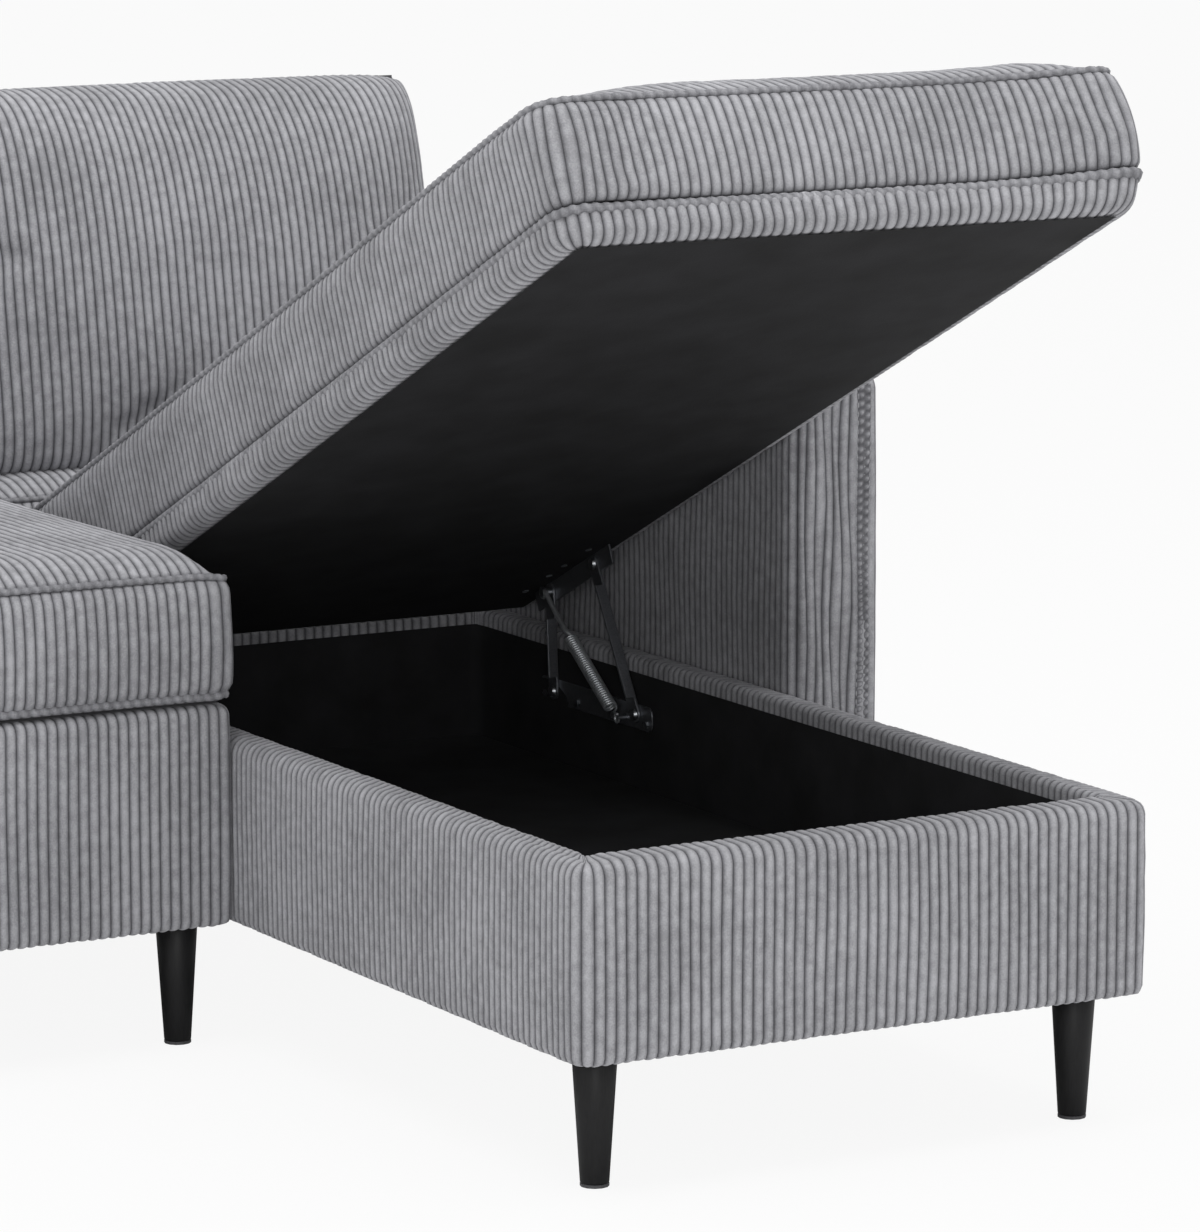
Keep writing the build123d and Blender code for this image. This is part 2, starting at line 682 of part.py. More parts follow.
walls = (("left", 1, chaise_x0), ("right", -1, chaise_x1))
for side, inboard, wall_x in walls:

    # Base plate screwed to the wall, with round ends and holes for pivots, stud and screws
    with BuildPart() as lift_base:
        middle = Vector((plate_y[0] + plate_y[1]) / 2, plate_z)
        with BuildSketch(on_wall(inboard, wall_x, middle, plate_at)):
            RectangleRounded(plate_y[1] - plate_y[0], base_plate_height, base_plate_height / 3)
        extrude(amount=link_thickness)
        holes = [(rear_base, pivot_radius), (front_base, pivot_radius), (hook_stud, hook_stud_radius)]
        holes += [(Vector(y, screw_z), screw_radius) for y in screw_y]
        for centre, radius in holes:
            with BuildSketch(on_wall(inboard, wall_x, centre, plate_at)):
                Circle(radius + pivot_clearance)
            extrude(amount=link_thickness, mode=Mode.SUBTRACT)
    save(lift_base, f"lift_base_{side}")

    # Links pressed from strip, with a flange turned in along the front edge
    for name, low, high in (("rear_link", rear_base, rear_open), ("front_link", front_base, front_open)):
        length = (high - low).length
        along = (high - low).normalized()
        link_plane = Plane(
            (wall_x + inboard * link_at, (low.X + high.X) / 2, (low.Y + high.Y) / 2),
            x_dir=(0, along.X, along.Y),
            z_dir=(inboard, 0, 0),
        )
        edge = inboard * (link_width - link_thickness) / 2
        with BuildPart() as link:
            with BuildSketch(link_plane):
                SlotCenterToCenter(length, link_width)
                with Locations((-length / 2, 0), (length / 2, 0)):
                    Circle(pivot_radius + pivot_clearance, mode=Mode.SUBTRACT)
            extrude(amount=link_thickness)
            with BuildSketch(link_plane.offset(link_thickness)):
                with Locations((-flange_shift, edge)):
                    Rectangle(length - 2 * flange_short, link_thickness)
            extrude(amount=link_flange)
        save(link, f"{name}_{side}")

    # Angle bracket under the lid that carries the two lid pivots
    with BuildPart() as lid_bracket:
        bracket_x = inboard * (bracket_at - chaise_width / 2)
        foot_x = bracket_x + inboard * bracket_foot / 2
        bracket_y = (front_run - bracket_overhang, rear_run + bracket_overhang)
        bracket_length = bracket_y[1] - bracket_y[0]
        with BuildSketch(lid_plane.offset(-bracket_thickness)):
            with Locations((foot_x, (bracket_y[0] + bracket_y[1]) / 2)):
                Rectangle(bracket_foot, bracket_length)
        extrude(amount=bracket_thickness)
        with BuildSketch(lid_plane.offset(-bracket_height)):
            with Locations((bracket_x + inboard * bracket_thickness / 2, (bracket_y[0] + bracket_y[1]) / 2)):
                Rectangle(bracket_thickness, bracket_length)
        extrude(amount=bracket_height)
        with BuildSketch(on_wall(inboard, wall_x, rear_open, bracket_at)):
            Circle(pivot_radius + pivot_clearance)
        extrude(amount=bracket_thickness, mode=Mode.SUBTRACT)
    save(lid_bracket, f"lid_bracket_{side}")

    # Extension spring between the base stud and the rear lid pivot
    stud = Vector(wall_x + inboard * coil_at, hook_stud.X, hook_stud.Y)
    pin = Vector(wall_x + inboard * coil_at, rear_open.X, rear_open.Y)
    with BuildPart() as lift_spring:
        with BuildLine() as wire_line:
            wound = [
                ThreePointArc(*run) if len(run) == 3 else Line(*run)
                for run in spring_path(stud, pin, Vector(inboard, 0, 0))
            ]
        with BuildSketch(Plane(wire_line.line @ 0, z_dir=wire_line.line % 0)):
            RegularPolygon(wire / 2, wire_sides)
        sweep(clean=False)
    print(f"lift spring {side}: least gap to itself {self_gap(wound):.2f}")
    save(lift_spring, f"lift_spring_{side}")

# Rivets and screws of both sides, in one group for each body that carries them
with BuildPart() as lift_base_rivets:
    for side, inboard, wall_x in walls:
        for centre in (rear_base, front_base):
            with BuildSketch(on_wall(inboard, wall_x, centre, plate_at)):
                Circle(pivot_radius)
            extrude(amount=head_at - plate_at)
            with BuildSketch(on_wall(inboard, wall_x, centre, head_at)):
                Circle(rivet_head_radius)
            extrude(amount=rivet_head, taper=rivet_taper)
        with BuildSketch(on_wall(inboard, wall_x, hook_stud, plate_at)):
            Circle(hook_stud_radius)
        extrude(amount=stud_end - plate_at)
save(lift_base_rivets, "lift_base_rivets")

with BuildPart() as rear_link_rivets:
    for side, inboard, wall_x in walls:
        with BuildSketch(on_wall(inboard, wall_x, rear_open, bracket_at)):
            Circle(pivot_radius)
        extrude(amount=stud_end - bracket_at)
        with BuildSketch(on_wall(inboard, wall_x, rear_open, stud_end)):
            Circle(rivet_head_radius)
        extrude(amount=rivet_head, taper=rivet_taper)
save(rear_link_rivets, "rear_link_rivets")

with BuildPart() as front_link_rivets:
    for side, inboard, wall_x in walls:
        with BuildSketch(on_wall(inboard, wall_x, front_open, link_at)):
            Circle(pivot_radius)
        extrude(amount=link_thickness)
        with BuildSketch(on_wall(inboard, wall_x, front_open, link_face)):
            Circle(rivet_head_radius)
        extrude(amount=rivet_head, taper=rivet_taper)
save(front_link_rivets, "front_link_rivets")

with BuildPart() as lift_base_screws:
    for side, inboard, wall_x in walls:
        for y in screw_y:
            with BuildSketch(on_wall(inboard, wall_x, Vector(y, screw_z), plate_at)):
                RegularPolygon(screw_radius, 6)
            extrude(amount=link_thickness)
            with BuildSketch(on_wall(inboard, wall_x, Vector(y, screw_z), plate_at + link_thickness)):
                RegularPolygon(screw_head_radius, 6)
            extrude(amount=screw_head)
save(lift_base_screws, "lift_base_screws")

screw_rows = [
    front_run - bracket_screw_outer,
    front_run + bracket_screw_inner,
    rear_run - bracket_screw_inner,
    rear_run + bracket_screw_outer,
]
with BuildPart() as lid_bracket_screws:
    foot_place = chaise_width / 2 - bracket_at - bracket_foot + bracket_screw_edge
    with BuildSketch(lid_plane.offset(-bracket_thickness)):
        with Locations([(s * foot_place, y) for s in (-1, 1) for y in screw_rows]):
            RegularPolygon(screw_head_radius, 6)
    extrude(amount=-screw_head)
save(lid_bracket_screws, "lid_bracket_screws")

# Legs: turned tapered legs on steel plates, with hanger bolts and glides
chaise_front_y = front_y + leg_front_inset
main_front_y = main_y0 + main_leg_front_inset
rear_leg_y = base_y1 - rear_leg_inset
front_legs = [
    ("chaise_leg_left", chaise_x0 + leg_side_inset, chaise_front_y),
    ("chaise_leg_right", chaise_x1 - leg_side_inset, chaise_front_y),
    ("main_leg_left", main_x0 + main_leg_inset, main_front_y),
    ("main_leg_right", main_x1 - main_leg_inset, main_front_y),
]
rear_legs = [
    (main_x0 + rear_leg_inset, rear_leg_y),
    (main_x1 - rear_leg_inset, rear_leg_y),
    (chaise_x0 + rear_leg_inset, rear_leg_y),
    (chaise_x1 - rear_leg_inset, rear_leg_y),
]
leg_top = leg_height - leg_plate


def add_leg(x, y):
    """A turned leg with its hanger bolt, as a solid to add."""
    with BuildPart() as leg:
        with BuildSketch(Plane.XZ):
            with BuildLine():
                Polyline(
                    (0, glide),
                    (leg_foot_radius, glide),
                    (leg_top_radius, leg_top),
                    (hanger_radius, leg_top),
                    (hanger_radius, leg_top + hanger_length),
                    (0, leg_top + hanger_length),
                    close=True,
                )
            make_face()
        revolve(axis=Axis.Z)
    return leg.part.moved(Location((x, y, 0)))


for name, x, y in front_legs:
    with BuildPart() as leg:
        add(add_leg(x, y))
    save(leg, name)
with BuildPart() as rear_leg_group:
    for x, y in rear_legs:
        add(add_leg(x, y))
save(rear_leg_group, "rear_legs")

leg_places = [(x, y) for _, x, y in front_legs] + rear_legs
with BuildPart() as leg_plates:
    with BuildSketch(Plane.XY.offset(leg_top)):
        with Locations(leg_places):
            Rectangle(leg_plate_size, leg_plate_size)
            Circle(hanger_radius + pivot_clearance, mode=Mode.SUBTRACT)
    extrude(amount=leg_plate)
save(leg_plates, "leg_plates")

with BuildPart() as leg_glides:
    with BuildSketch():
        with Locations(leg_places):
            RegularPolygon(leg_foot_radius, glide_sides)
    extrude(amount=glide)
save(leg_glides, "leg_glides")

# Glued corner blocks that the hanger bolts screw into, inside both bases
main_corner = (rail_x[0] + rail, rail_x[1] - rail)
deck_corner = (chaise_x0 + rail, chaise_x1 - rail)
blocks = [
    (inner_x[0], inner_y[0], 1, 1, front_legs[0][1:]),
    (inner_x[1], inner_y[0], -1, 1, front_legs[1][1:]),
    (main_corner[0], side_rail_y[0], 1, 1, front_legs[2][1:]),
    (main_corner[1], side_rail_y[0], -1, 1, front_legs[3][1:]),
    (main_corner[0], side_rail_y[1], 1, -1, rear_legs[0]),
    (main_corner[1], side_rail_y[1], -1, -1, rear_legs[1]),
    (deck_corner[0], base_y1 - rail, 1, -1, rear_legs[2]),
    (deck_corner[1], base_y1 - rail, -1, -1, rear_legs[3]),
]
with BuildPart() as corner_blocks:
    for x, y, right, back, bolt in blocks:
        with BuildSketch(Plane.XY.offset(leg_height)):
            with Locations((x + right * block_size / 2, y + back * block_size / 2)):
                Rectangle(block_size, block_size)
            with Locations(bolt):
                Circle(hanger_radius + pivot_clearance, mode=Mode.SUBTRACT)
        extrude(amount=block_height)
save(corner_blocks, "corner_blocks")

# Black dust cloths stapled under both bases, cut out round the leg plates
cloths = [
    ("main_dust_cloth", (main_x0, main_x1), (main_y0, base_y1)),
    ("chaise_dust_cloth", (chaise_x0, chaise_x1), (front_y, base_y1)),
]
for name, x, y in cloths:
    with BuildPart() as dust_cloth:
        with BuildSketch(Plane.XY.offset(leg_height - cloth)):
            with Locations(((x[0] + x[1]) / 2, (y[0] + y[1]) / 2)):
                Rectangle(x[1] - x[0] - 2 * cloth_inset, y[1] - y[0] - 2 * cloth_inset)
            with Locations(leg_places):
                Rectangle(leg_plate_size + cushion_gap, leg_plate_size + cushion_gap, mode=Mode.SUBTRACT)
        extrude(amount=cloth)
    save(dust_cloth, name)

# Steel straps screwed under both units to hold them together
with BuildPart() as unit_straps:
    with BuildSketch(Plane.XY.offset(leg_height - cloth - strap_thickness)):
        with Locations(((main_x1 + chaise_x0) / 2, (main_y0 + base_y1) / 2)):
            with GridLocations(1, strap_spacing, 1, 2):
                RectangleRounded(strap_length, strap_width, strap_width / 4)
    extrude(amount=strap_thickness)
save(unit_straps, "unit_straps")
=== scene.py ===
import json
import math

import bpy
import numpy as np
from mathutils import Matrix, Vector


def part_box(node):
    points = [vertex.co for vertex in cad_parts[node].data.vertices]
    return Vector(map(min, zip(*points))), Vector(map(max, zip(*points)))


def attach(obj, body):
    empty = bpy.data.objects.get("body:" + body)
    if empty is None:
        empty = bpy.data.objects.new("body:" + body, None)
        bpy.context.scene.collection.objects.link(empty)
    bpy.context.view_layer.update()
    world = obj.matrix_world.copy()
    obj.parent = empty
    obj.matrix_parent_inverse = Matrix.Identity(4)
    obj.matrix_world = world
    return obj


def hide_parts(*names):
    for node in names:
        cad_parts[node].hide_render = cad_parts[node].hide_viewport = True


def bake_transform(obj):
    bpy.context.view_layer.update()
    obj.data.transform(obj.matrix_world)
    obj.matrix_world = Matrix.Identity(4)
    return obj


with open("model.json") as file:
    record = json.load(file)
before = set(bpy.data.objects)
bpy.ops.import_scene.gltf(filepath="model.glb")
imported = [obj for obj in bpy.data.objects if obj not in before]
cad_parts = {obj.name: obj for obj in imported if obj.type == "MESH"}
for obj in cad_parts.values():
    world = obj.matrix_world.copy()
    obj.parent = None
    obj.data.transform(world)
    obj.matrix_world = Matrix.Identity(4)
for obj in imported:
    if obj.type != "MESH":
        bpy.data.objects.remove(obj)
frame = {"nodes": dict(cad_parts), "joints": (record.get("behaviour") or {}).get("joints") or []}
nodes = frame["nodes"]
joints = {joint["name"]: joint for joint in frame["joints"]}
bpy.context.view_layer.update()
scene = bpy.context.scene
scene.view_settings.view_transform = "Standard"

# Camera: stands in front of the sofa and to its left, above the back, and looks slightly down
# along the raised lid. The lens is long, so the edges of the storage box hardly converge.
eye = (-2.240, -5.413, 1.417)
turned_right = math.radians(29.37)
looking_down = math.radians(9.5)
lens = bpy.data.cameras.new("camera")
lens.lens = 179.7
camera = bpy.data.objects.new("camera", lens)
camera.location = eye
camera.rotation_euler = (math.pi / 2 - looking_down, 0, -turned_right)
scene.collection.objects.link(camera)
scene.camera = camera


# Studio: a pale floor that runs out of sight, an even white surround, one wide soft lamp overhead,
# and a weaker one low in front. To the camera the floor and the surround are nearly white.
def linear(code):
    """Linear colour of an sRGB hex value, with full alpha."""
    value = np.array([int(code[i : i + 2], 16) for i in (1, 3, 5)]) / 255
    value = np.where(value <= 0.04045, value / 12.92, ((value + 0.055) / 1.055) ** 2.4)
    return (*value, 1.0)


def put(tree, kind, sockets=None, **settings):
    """Adds a node: settings are its properties, and sockets give its inputs a value or a link."""
    made = tree.nodes.new(kind)
    for name, value in settings.items():
        setattr(made, name, value)
    for name, value in (sockets or {}).items():
        if isinstance(value, bpy.types.NodeSocket):
            tree.links.new(value, made.inputs[name])
        else:
            made.inputs[name].default_value = value
    return made


def new_finish(name, values):
    """A material, its node tree and its shader, with values set on the shader's own sockets."""
    material = bpy.data.materials.new(name)
    material.use_nodes = True
    shader = material.node_tree.nodes["Principled BSDF"]
    for socket, value in values.items():
        shader.inputs[socket].default_value = value
    return material, material.node_tree, shader


floor_reach = 40.0
floor_mesh = bpy.data.meshes.new("floor")
floor_corners = [(-floor_reach, -floor_reach, 0), (floor_reach, -floor_reach, 0)]
floor_corners += [(floor_reach, floor_reach, 0), (-floor_reach, floor_reach, 0)]
floor_mesh.from_pydata(floor_corners, [], [(0, 1, 2, 3)])
floor = bpy.data.objects.new("floor", floor_mesh)
scene.collection.objects.link(floor)

pale = {"Base Color": linear("#f4f4f4"), "Roughness": 0.9}
floor_paint, tree, matt = new_finish("pale_studio_floor", pale)
path = put(tree, "ShaderNodeLightPath")
seen = put(tree, "ShaderNodeMath", {0: path.outputs["Is Camera Ray"], 1: 0.93}, operation="MULTIPLY")
glow = put(tree, "ShaderNodeEmission", {"Color": linear("#fdfdfd"), "Strength": 1.0})
both = put(tree, "ShaderNodeMixShader", {0: seen.outputs[0], 1: matt.outputs[0], 2: glow.outputs[0]})
tree.links.new(both.outputs[0], tree.nodes["Material Output"].inputs["Surface"])
floor_mesh.materials.append(floor_paint)

surround = bpy.data.worlds.new("white_surround")
surround.use_nodes = True
tree = surround.node_tree
path = put(tree, "ShaderNodeLightPath")
rays = {0: path.outputs["Is Camera Ray"], 1: path.outputs["Is Glossy Ray"]}
shown = put(tree, "ShaderNodeMath", rays, operation="MAXIMUM")
level = put(tree, "ShaderNodeMapRange", {"Value": shown.outputs[0], "To Min": 0.63, "To Max": 1.0})
sky = tree.nodes["Background"]
sky.inputs["Color"].default_value = linear("#ffffff")
tree.links.new(level.outputs[0], sky.inputs["Strength"])
scene.world = surround

lamps = {
    "overhead_lamp": ((0.0, -0.9, 5.2), (10, 0), (5.0, 3.0), 162.0),
    "front_lamp": ((-2.2, -6.0, 1.5), (81, -25), (3.0, 1.6), 51.0),
}
for name, (place, (tilt, turn), (width, length), watts) in lamps.items():
    lamp = bpy.data.lights.new(name, "AREA")
    lamp.shape = "RECTANGLE"
    lamp.size = width
    lamp.size_y = length
    lamp.energy = watts
    lamp_stand = bpy.data.objects.new(name, lamp)
    lamp_stand.location = place
    lamp_stand.rotation_euler = (math.radians(tilt), 0, math.radians(turn))
    lamp_stand.visible_camera = False
    scene.collection.objects.link(lamp_stand)


# Corduroy of the storage box: a padded cover of wide-wale cloth, pulled up over the four boards,
# round the rim and down inside, and tacked underneath. The wales run up the walls.
def noise(tree, size, detail):
    """Noise in the piece's own space, with patches of a size in metres: one, or one for each way."""
    where = put(tree, "ShaderNodeTexCoord").outputs["Object"]
    per_metre = tuple(1 / np.broadcast_to(size, 3))
    scaled = put(tree, "ShaderNodeMapping", {"Vector": where, "Scale": per_metre})
    sockets = {"Vector": scaled.outputs["Vector"], "Scale": 1.0, "Detail": detail}
    return put(tree, "ShaderNodeTexNoise", sockets).outputs["Fac"]


def coloured(tree, value, colours, ends=(0, 1)):
    """A ramp that runs in a straight line from one colour to another, between two ends of a value."""
    ramp = put(tree, "ShaderNodeValToRGB", {"Fac": value})
    for stop, end, code in zip(ramp.color_ramp.elements, ends, colours):
        stop.position = end
        stop.color = linear(code)
    return ramp


def raised(tree, shader, height, strength, distance):
    """Tilts the shader's normal as if the surface rose by a distance in metres with the height."""
    bump = put(tree, "ShaderNodeBump", {"Height": height, "Strength": strength, "Distance": distance})
    tree.links.new(bump.outputs["Normal"], shader.inputs["Normal"])
    return bump


brushed_cloth = {
    "Roughness": 0.93,
    "Specular IOR Level": 0.2,
    "Sheen Weight": 0.18,
    "Sheen Roughness": 0.45,
    "Sheen Tint": linear("#e6e6ea"),
}
corduroy, tree, cloth = new_finish("grey_wide_wale_corduroy", brushed_cloth)
# Painted shade across each wale: the colour runs by the pile value from a dark groove through a mid-grey
# flank to a pale top. Welts, seams, puckers and cushion feet are darkened as painted shade through the
# same value.
height = put(tree, "ShaderNodeAttribute", attribute_name="pile").outputs["Fac"]
depth = coloured(tree, height, ("#464649", "#a8a8ac"))
painted_flank_shade_stop = depth.color_ramp.elements.new(0.55)
painted_flank_shade_stop.color = linear("#7b7b7f")
# Brushed patches 11 mm wide and slow drifts 130 mm wide, where the nap lies another way.
brushed = noise(tree, 0.011, 1.0)
drift = noise(tree, 0.13, 1.0)
# Tufts of pile 1.6 mm wide: the real ones are finer, and are drawn as coarse as the render shows.
tufts = noise(tree, 0.0016, 2.0)
tone = put(tree, "ShaderNodeMath", {0: brushed, 1: drift}, operation="ADD")
tone = put(tree, "ShaderNodeMath", {0: tone.outputs[0], 1: tufts}, operation="ADD")
spread = {"Value": tone.outputs[0], "From Min": 1.15, "From Max": 1.85, "To Min": 0.76, "To Max": 1.21}
tone = put(tree, "ShaderNodeMapRange", spread)
shares = {0: depth.outputs["Color"], "Scale": tone.outputs[0]}
dyed = put(tree, "ShaderNodeVectorMath", shares, operation="SCALE")
tree.links.new(dyed.outputs["Vector"], cloth.inputs["Base Color"])
raised(tree, cloth, tufts, 0.35, 0.0009)

wale_spacing = 0.0108
wale_depth = 0.0022


def wales(count):
    """Shares of a stretch at seven places on each of its wales, and the height of the pile there.

    A wale is a half round, (1 - |x|^p)^(1/p), so two of them meet in a groove."""
    place = np.array([0.0, 0.07, 0.20, 0.39, 0.61, 0.80, 0.93])
    share = (np.arange(count)[:, None] + place).ravel() / count
    roundness = 1.9
    half_round = (1 - np.abs(2 * place - 1) ** roundness) ** (1 / roundness)
    return share, np.tile(half_round, count)


def rounded_loop(share, half, corner, inset=0.0):
    """Points and outward directions round a rectangle with round corners.

    share runs from 0 to 4, one for each side, from the middle of one corner to the middle of the
    next, starting at the front. An inset draws the rectangle in: each point moves square to its
    side, and those that would pass the corner are gathered into its last few millimetres."""
    side = np.floor(share).astype(int) % 4
    reach = np.array(half)[side % 2]
    eighth = corner * math.pi / 4
    edge = 2 * (reach - corner)
    run = (share - np.floor(share)) * (edge + 2 * eighth) - eighth
    bend = np.clip(run / eighth, -1, 0) + np.clip((run - edge) / eighth, 0, 1)
    angle = (side - 1 + bend / 2) * math.pi / 2
    radius = np.maximum(corner - inset, 0.002)
    gathered = 0.007
    shorter = reach - inset - radius
    keep = np.minimum(edge / 2, shorter) - gathered
    place = np.clip(run, 0, edge) - edge / 2
    beyond = np.maximum(np.abs(place) - keep, 0)
    along = np.minimum(np.abs(place), keep) + beyond * (shorter - keep) / (edge / 2 - keep)
    along = along * np.sign(place)
    onward_x = np.array([1, 0, -1, 0])[side]
    onward_y = np.array([0, 1, 0, -1])[side]
    x = onward_x * along + onward_y * (half[0] - inset - radius) + radius * np.cos(angle)
    y = onward_y * along - onward_x * (half[1] - inset - radius) + radius * np.sin(angle)
    return x, y, np.cos(angle), np.sin(angle)


def loop_wales(half, corner):
    """Shares of a rounded loop at every place of its wales, and the height of the pile there."""
    shares = []
    piles_and_painted_shades = []
    for side in range(4):
        length = 2 * half[side % 2] - 2 * corner + corner * math.pi / 2
        share, pile = wales(round(length / wale_spacing))
        shares.append(side + share)
        piles_and_painted_shades.append(pile)
    return np.concatenate(shares), np.concatenate(piles_and_painted_shades)


def arc(centre, radius, start, end, steps):
    """Points on an arc, as (inset, height) pairs, between two angles in degrees."""
    angle = np.radians(np.linspace(start, end, steps))
    return np.stack([centre[0] - radius * np.cos(angle), centre[1] + radius * np.sin(angle)], -1)


def padded_wall(tall, edge, rows):
    """Insets and heights up a padded wall: turned under at the foot, then up to where its edge begins,
    and fuller by up to 1.2 mm in half a sine wave."""
    rise = np.linspace(0.006, tall - edge, rows)
    fuller = 0.0012 * np.sin(np.pi * rise / tall)
    foot = [(0.024, 0), (0.007, -0.0008), (0.0018, 0.0012)]
    return np.concatenate([foot, np.stack([-fuller, rise], -1)])


def crushed(points):
    """Height of the pile as a share of its full depth: waves some 30 mm long cross one another, and
    where two crests meet the pile has been pressed flatter."""
    x, y, z = np.moveaxis(points, -1, 0)
    first = np.sin(163 * x + 71 * y + 58 * z + 2 * np.sin(37 * z + 29 * x + 31 * y))
    second = np.sin(97 * z - 83 * x + 139 * y + 2 * np.sin(43 * x - 23 * z + 19 * y))
    return 1 - 0.09 * (1 + first) * (1 + second)


def unit(way):
    """Directions of length one: each divided by its own length."""
    return way / np.maximum(np.linalg.norm(way, axis=-1, keepdims=True), 1e-12)


def lattice(x, y, z):
    """Points from their three coordinates, each repeated over the rows or columns that it lacks."""
    return np.stack(np.broadcast_arrays(x, y, z), -1)


def wrapped(profile, low, high, corner, wander=0.0007):
    """Corduroy carried round a box with round corners. The profile gives an inset and a height for
    each row, and the pile stands square to it, lower where the cloth is gathered. The wales wander
    in slow waves, as cloth does that is stretched by hand. Returns the points and the pile."""
    half = (high - low)[:2] / 2 - wale_depth
    share, pile = loop_wales(half, corner)
    step = unit(np.gradient(profile, axis=0))
    inset, height = profile[:, :1], profile[:, 1:]
    reach = 2 * half[np.floor(share).astype(int) % 2]
    part = share - np.floor(share)
    wave = np.sin(29 * height + 9 * share) + 0.6 * np.sin(17 * height + 40 * part + 2 * share)
    bent = share + wander * wave * np.sin(np.pi * part) ** 0.5 / reach
    x, y, out_x, out_y = rounded_loop(bent, half, corner, inset)
    base = lattice(x, y, height)
    width = np.linalg.norm(np.roll(base, -1, 1) - base, axis=2)
    open_share = np.clip(1.3 * width / width.max(0), 0, 1)
    lift = wale_depth * pile * crushed(base) * open_share
    outward = lift * step[:, 1:]
    upward = lift * step[:, :1]
    points = base + lattice(outward * out_x, outward * out_y, upward)
    return points + (*(high + low)[:2] / 2, low[2]), np.broadcast_to(pile, x.shape)


def cells(number):
    """Corners of each cell in a grid of point numbers, so that columns crossed with rows face out."""
    corner = [number[:-1, :-1], number[:-1, 1:], number[1:, 1:], number[1:, :-1]]
    return np.stack(corner, -1).reshape(-1, 4)


def surface(name, grids, material, body):
    """One piece from grids of points in the frame: each cell is a face, and a closed grid joins its last
    column to its first. Each point keeps its pile value for the material: the pile height, which the
    material turns into painted shade in the grooves, or the painted shade of welts, seams and puckers."""
    corners = []
    start = 0
    for points, _, closed in grids:
        rows, columns = points.shape[:2]
        number = start + np.arange(rows * columns).reshape(rows, columns)
        if closed:
            number = np.hstack([number, number[:, :1]])
        corners.append(cells(number))
        start += rows * columns
    mesh = bpy.data.meshes.new(name)
    everywhere = np.concatenate([points.reshape(-1, 3) for points, _, _ in grids])
    mesh.from_pydata(everywhere.tolist(), [], np.concatenate(corners).tolist())
    mesh.polygons.foreach_set("use_smooth", np.ones(len(mesh.polygons), bool))
    piles_and_painted_shades = [np.broadcast_to(pile, points.shape[:2]).ravel() for points, pile, _ in grids]
    # The pile attribute holds the pile height and painted shade: the material darkens the cloth where it
    # is low.
    mesh.attributes.new("pile", "FLOAT", "POINT")
    mesh.attributes["pile"].data.foreach_set("value", np.concatenate(piles_and_painted_shades).astype(np.float32))
    mesh.materials.append(material)
    piece = bpy.data.objects.new(name, mesh)
    scene.collection.objects.link(piece)
    if body:
        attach(piece, body)
    return piece


def upholstery(name, grids, body, node):
    """A padded corduroy piece in the place of its node, whose part it hides."""
    piece = surface(name, grids, corduroy, body)
    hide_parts(node)


box_low, box_high = (np.array(corner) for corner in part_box("chaise_cover"))
lining_low, lining_high = (np.array(corner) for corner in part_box("storage_lining"))
# The turned-in cloth lies between the board and the lining, with its pile pressed.
rim_width = lining_low[0] - box_low[0] - 0.7 * wale_depth
front_rim_extra = lining_low[1] - box_low[1] - rim_width - 0.6 * wale_depth
rim_round = 0.013
inner_round = 0.006
turn_in = box_high[2] - lining_high[2]
rim_pressed = 0.0012
wall_height = box_high[2] - box_low[2] - wale_depth - rim_pressed
outer_wall = padded_wall(wall_height, rim_round, 9)
rows_at_foot = 3
box_profile = np.concatenate(
    [
        outer_wall,
        arc((rim_round, wall_height - rim_round), rim_round, 12, 90, 6),
        arc((rim_width - inner_round, wall_height - inner_round), inner_round, 90, 180, 5),
        [(rim_width, wall_height - 0.016), (rim_width, wall_height - turn_in - 0.004)],
    ]
)
points, pile = wrapped(box_profile, box_low, box_high, corner=0.016)
# The front wall is thicker, so the inner edge of the rim stands further back there.
turned = np.clip((box_profile[:, 0] - rim_round) / (rim_width - inner_round - rim_round), 0, 1)[:, None]
turned[:rows_at_foot] = 0
box_rear = box_high[1] - wale_depth
box_length = box_rear - box_low[1] - wale_depth
points[:, :, 1] += turned * front_rim_extra * (box_rear - points[:, :, 1]) / box_length
upholstery("storage_box_cover", [(points, pile, True)], "frame", "chaise_cover")


# Lining of the storage box: black non-woven cloth, cut as a cross, laid over the floor board,
# folded up the four walls and tacked behind the turned-in corduroy.
def mottled(name, values, size, detail, colours, ends=(0, 1), gloss=None):
    """A finish mottled by one noise: its value runs from one colour to another between two ends of
    it, and the roughness, if a pair of values is given for it, runs along with it. Returns the
    material, its tree and shader, and the noise."""
    material, tree, shader = new_finish(name, values)
    value = noise(tree, size, detail)
    tree.links.new(coloured(tree, value, colours, ends).outputs["Color"], shader.inputs["Base Color"])
    if gloss:
        rough = put(tree, "ShaderNodeMapRange", {"Value": value, "To Min": gloss[0], "To Max": gloss[1]})
        tree.links.new(rough.outputs[0], shader.inputs["Roughness"])
    return material, tree, shader, value


# Cloudy patches 60 mm wide, where the fibres lie thinner, and bonded spots 2.2 mm apart.
dull = {"Roughness": 0.88, "Specular IOR Level": 0.25}
cloudy = ("#1a1a1b", "#262628")
black_cloth, tree, felt, _ = mottled("black_non_woven_cloth", dull, 0.06, 3.0, cloudy, (0.3, 0.7))
where = put(tree, "ShaderNodeTexCoord").outputs["Object"]
spots = put(tree, "ShaderNodeTexVoronoi", {"Vector": where, "Scale": 1 / 0.0022})
raised(tree, felt, spots.outputs["Distance"], 0.3, 0.0003)

lining_thickness = 0.004
lining_half = (lining_high - lining_low)[:2] / 2 - lining_thickness
lining_middle = (lining_high + lining_low)[:2] / 2
lining_floor = lining_low[2] + 0.0015
lining_depth = lining_high[2] - lining_floor
share = np.linspace(0, 4, 240, endpoint=False)
drop = np.linspace(0, 1, 12)[:, None] ** 1.5
x, y, out_x, out_y = rounded_loop(share, lining_half, corner=0.006)
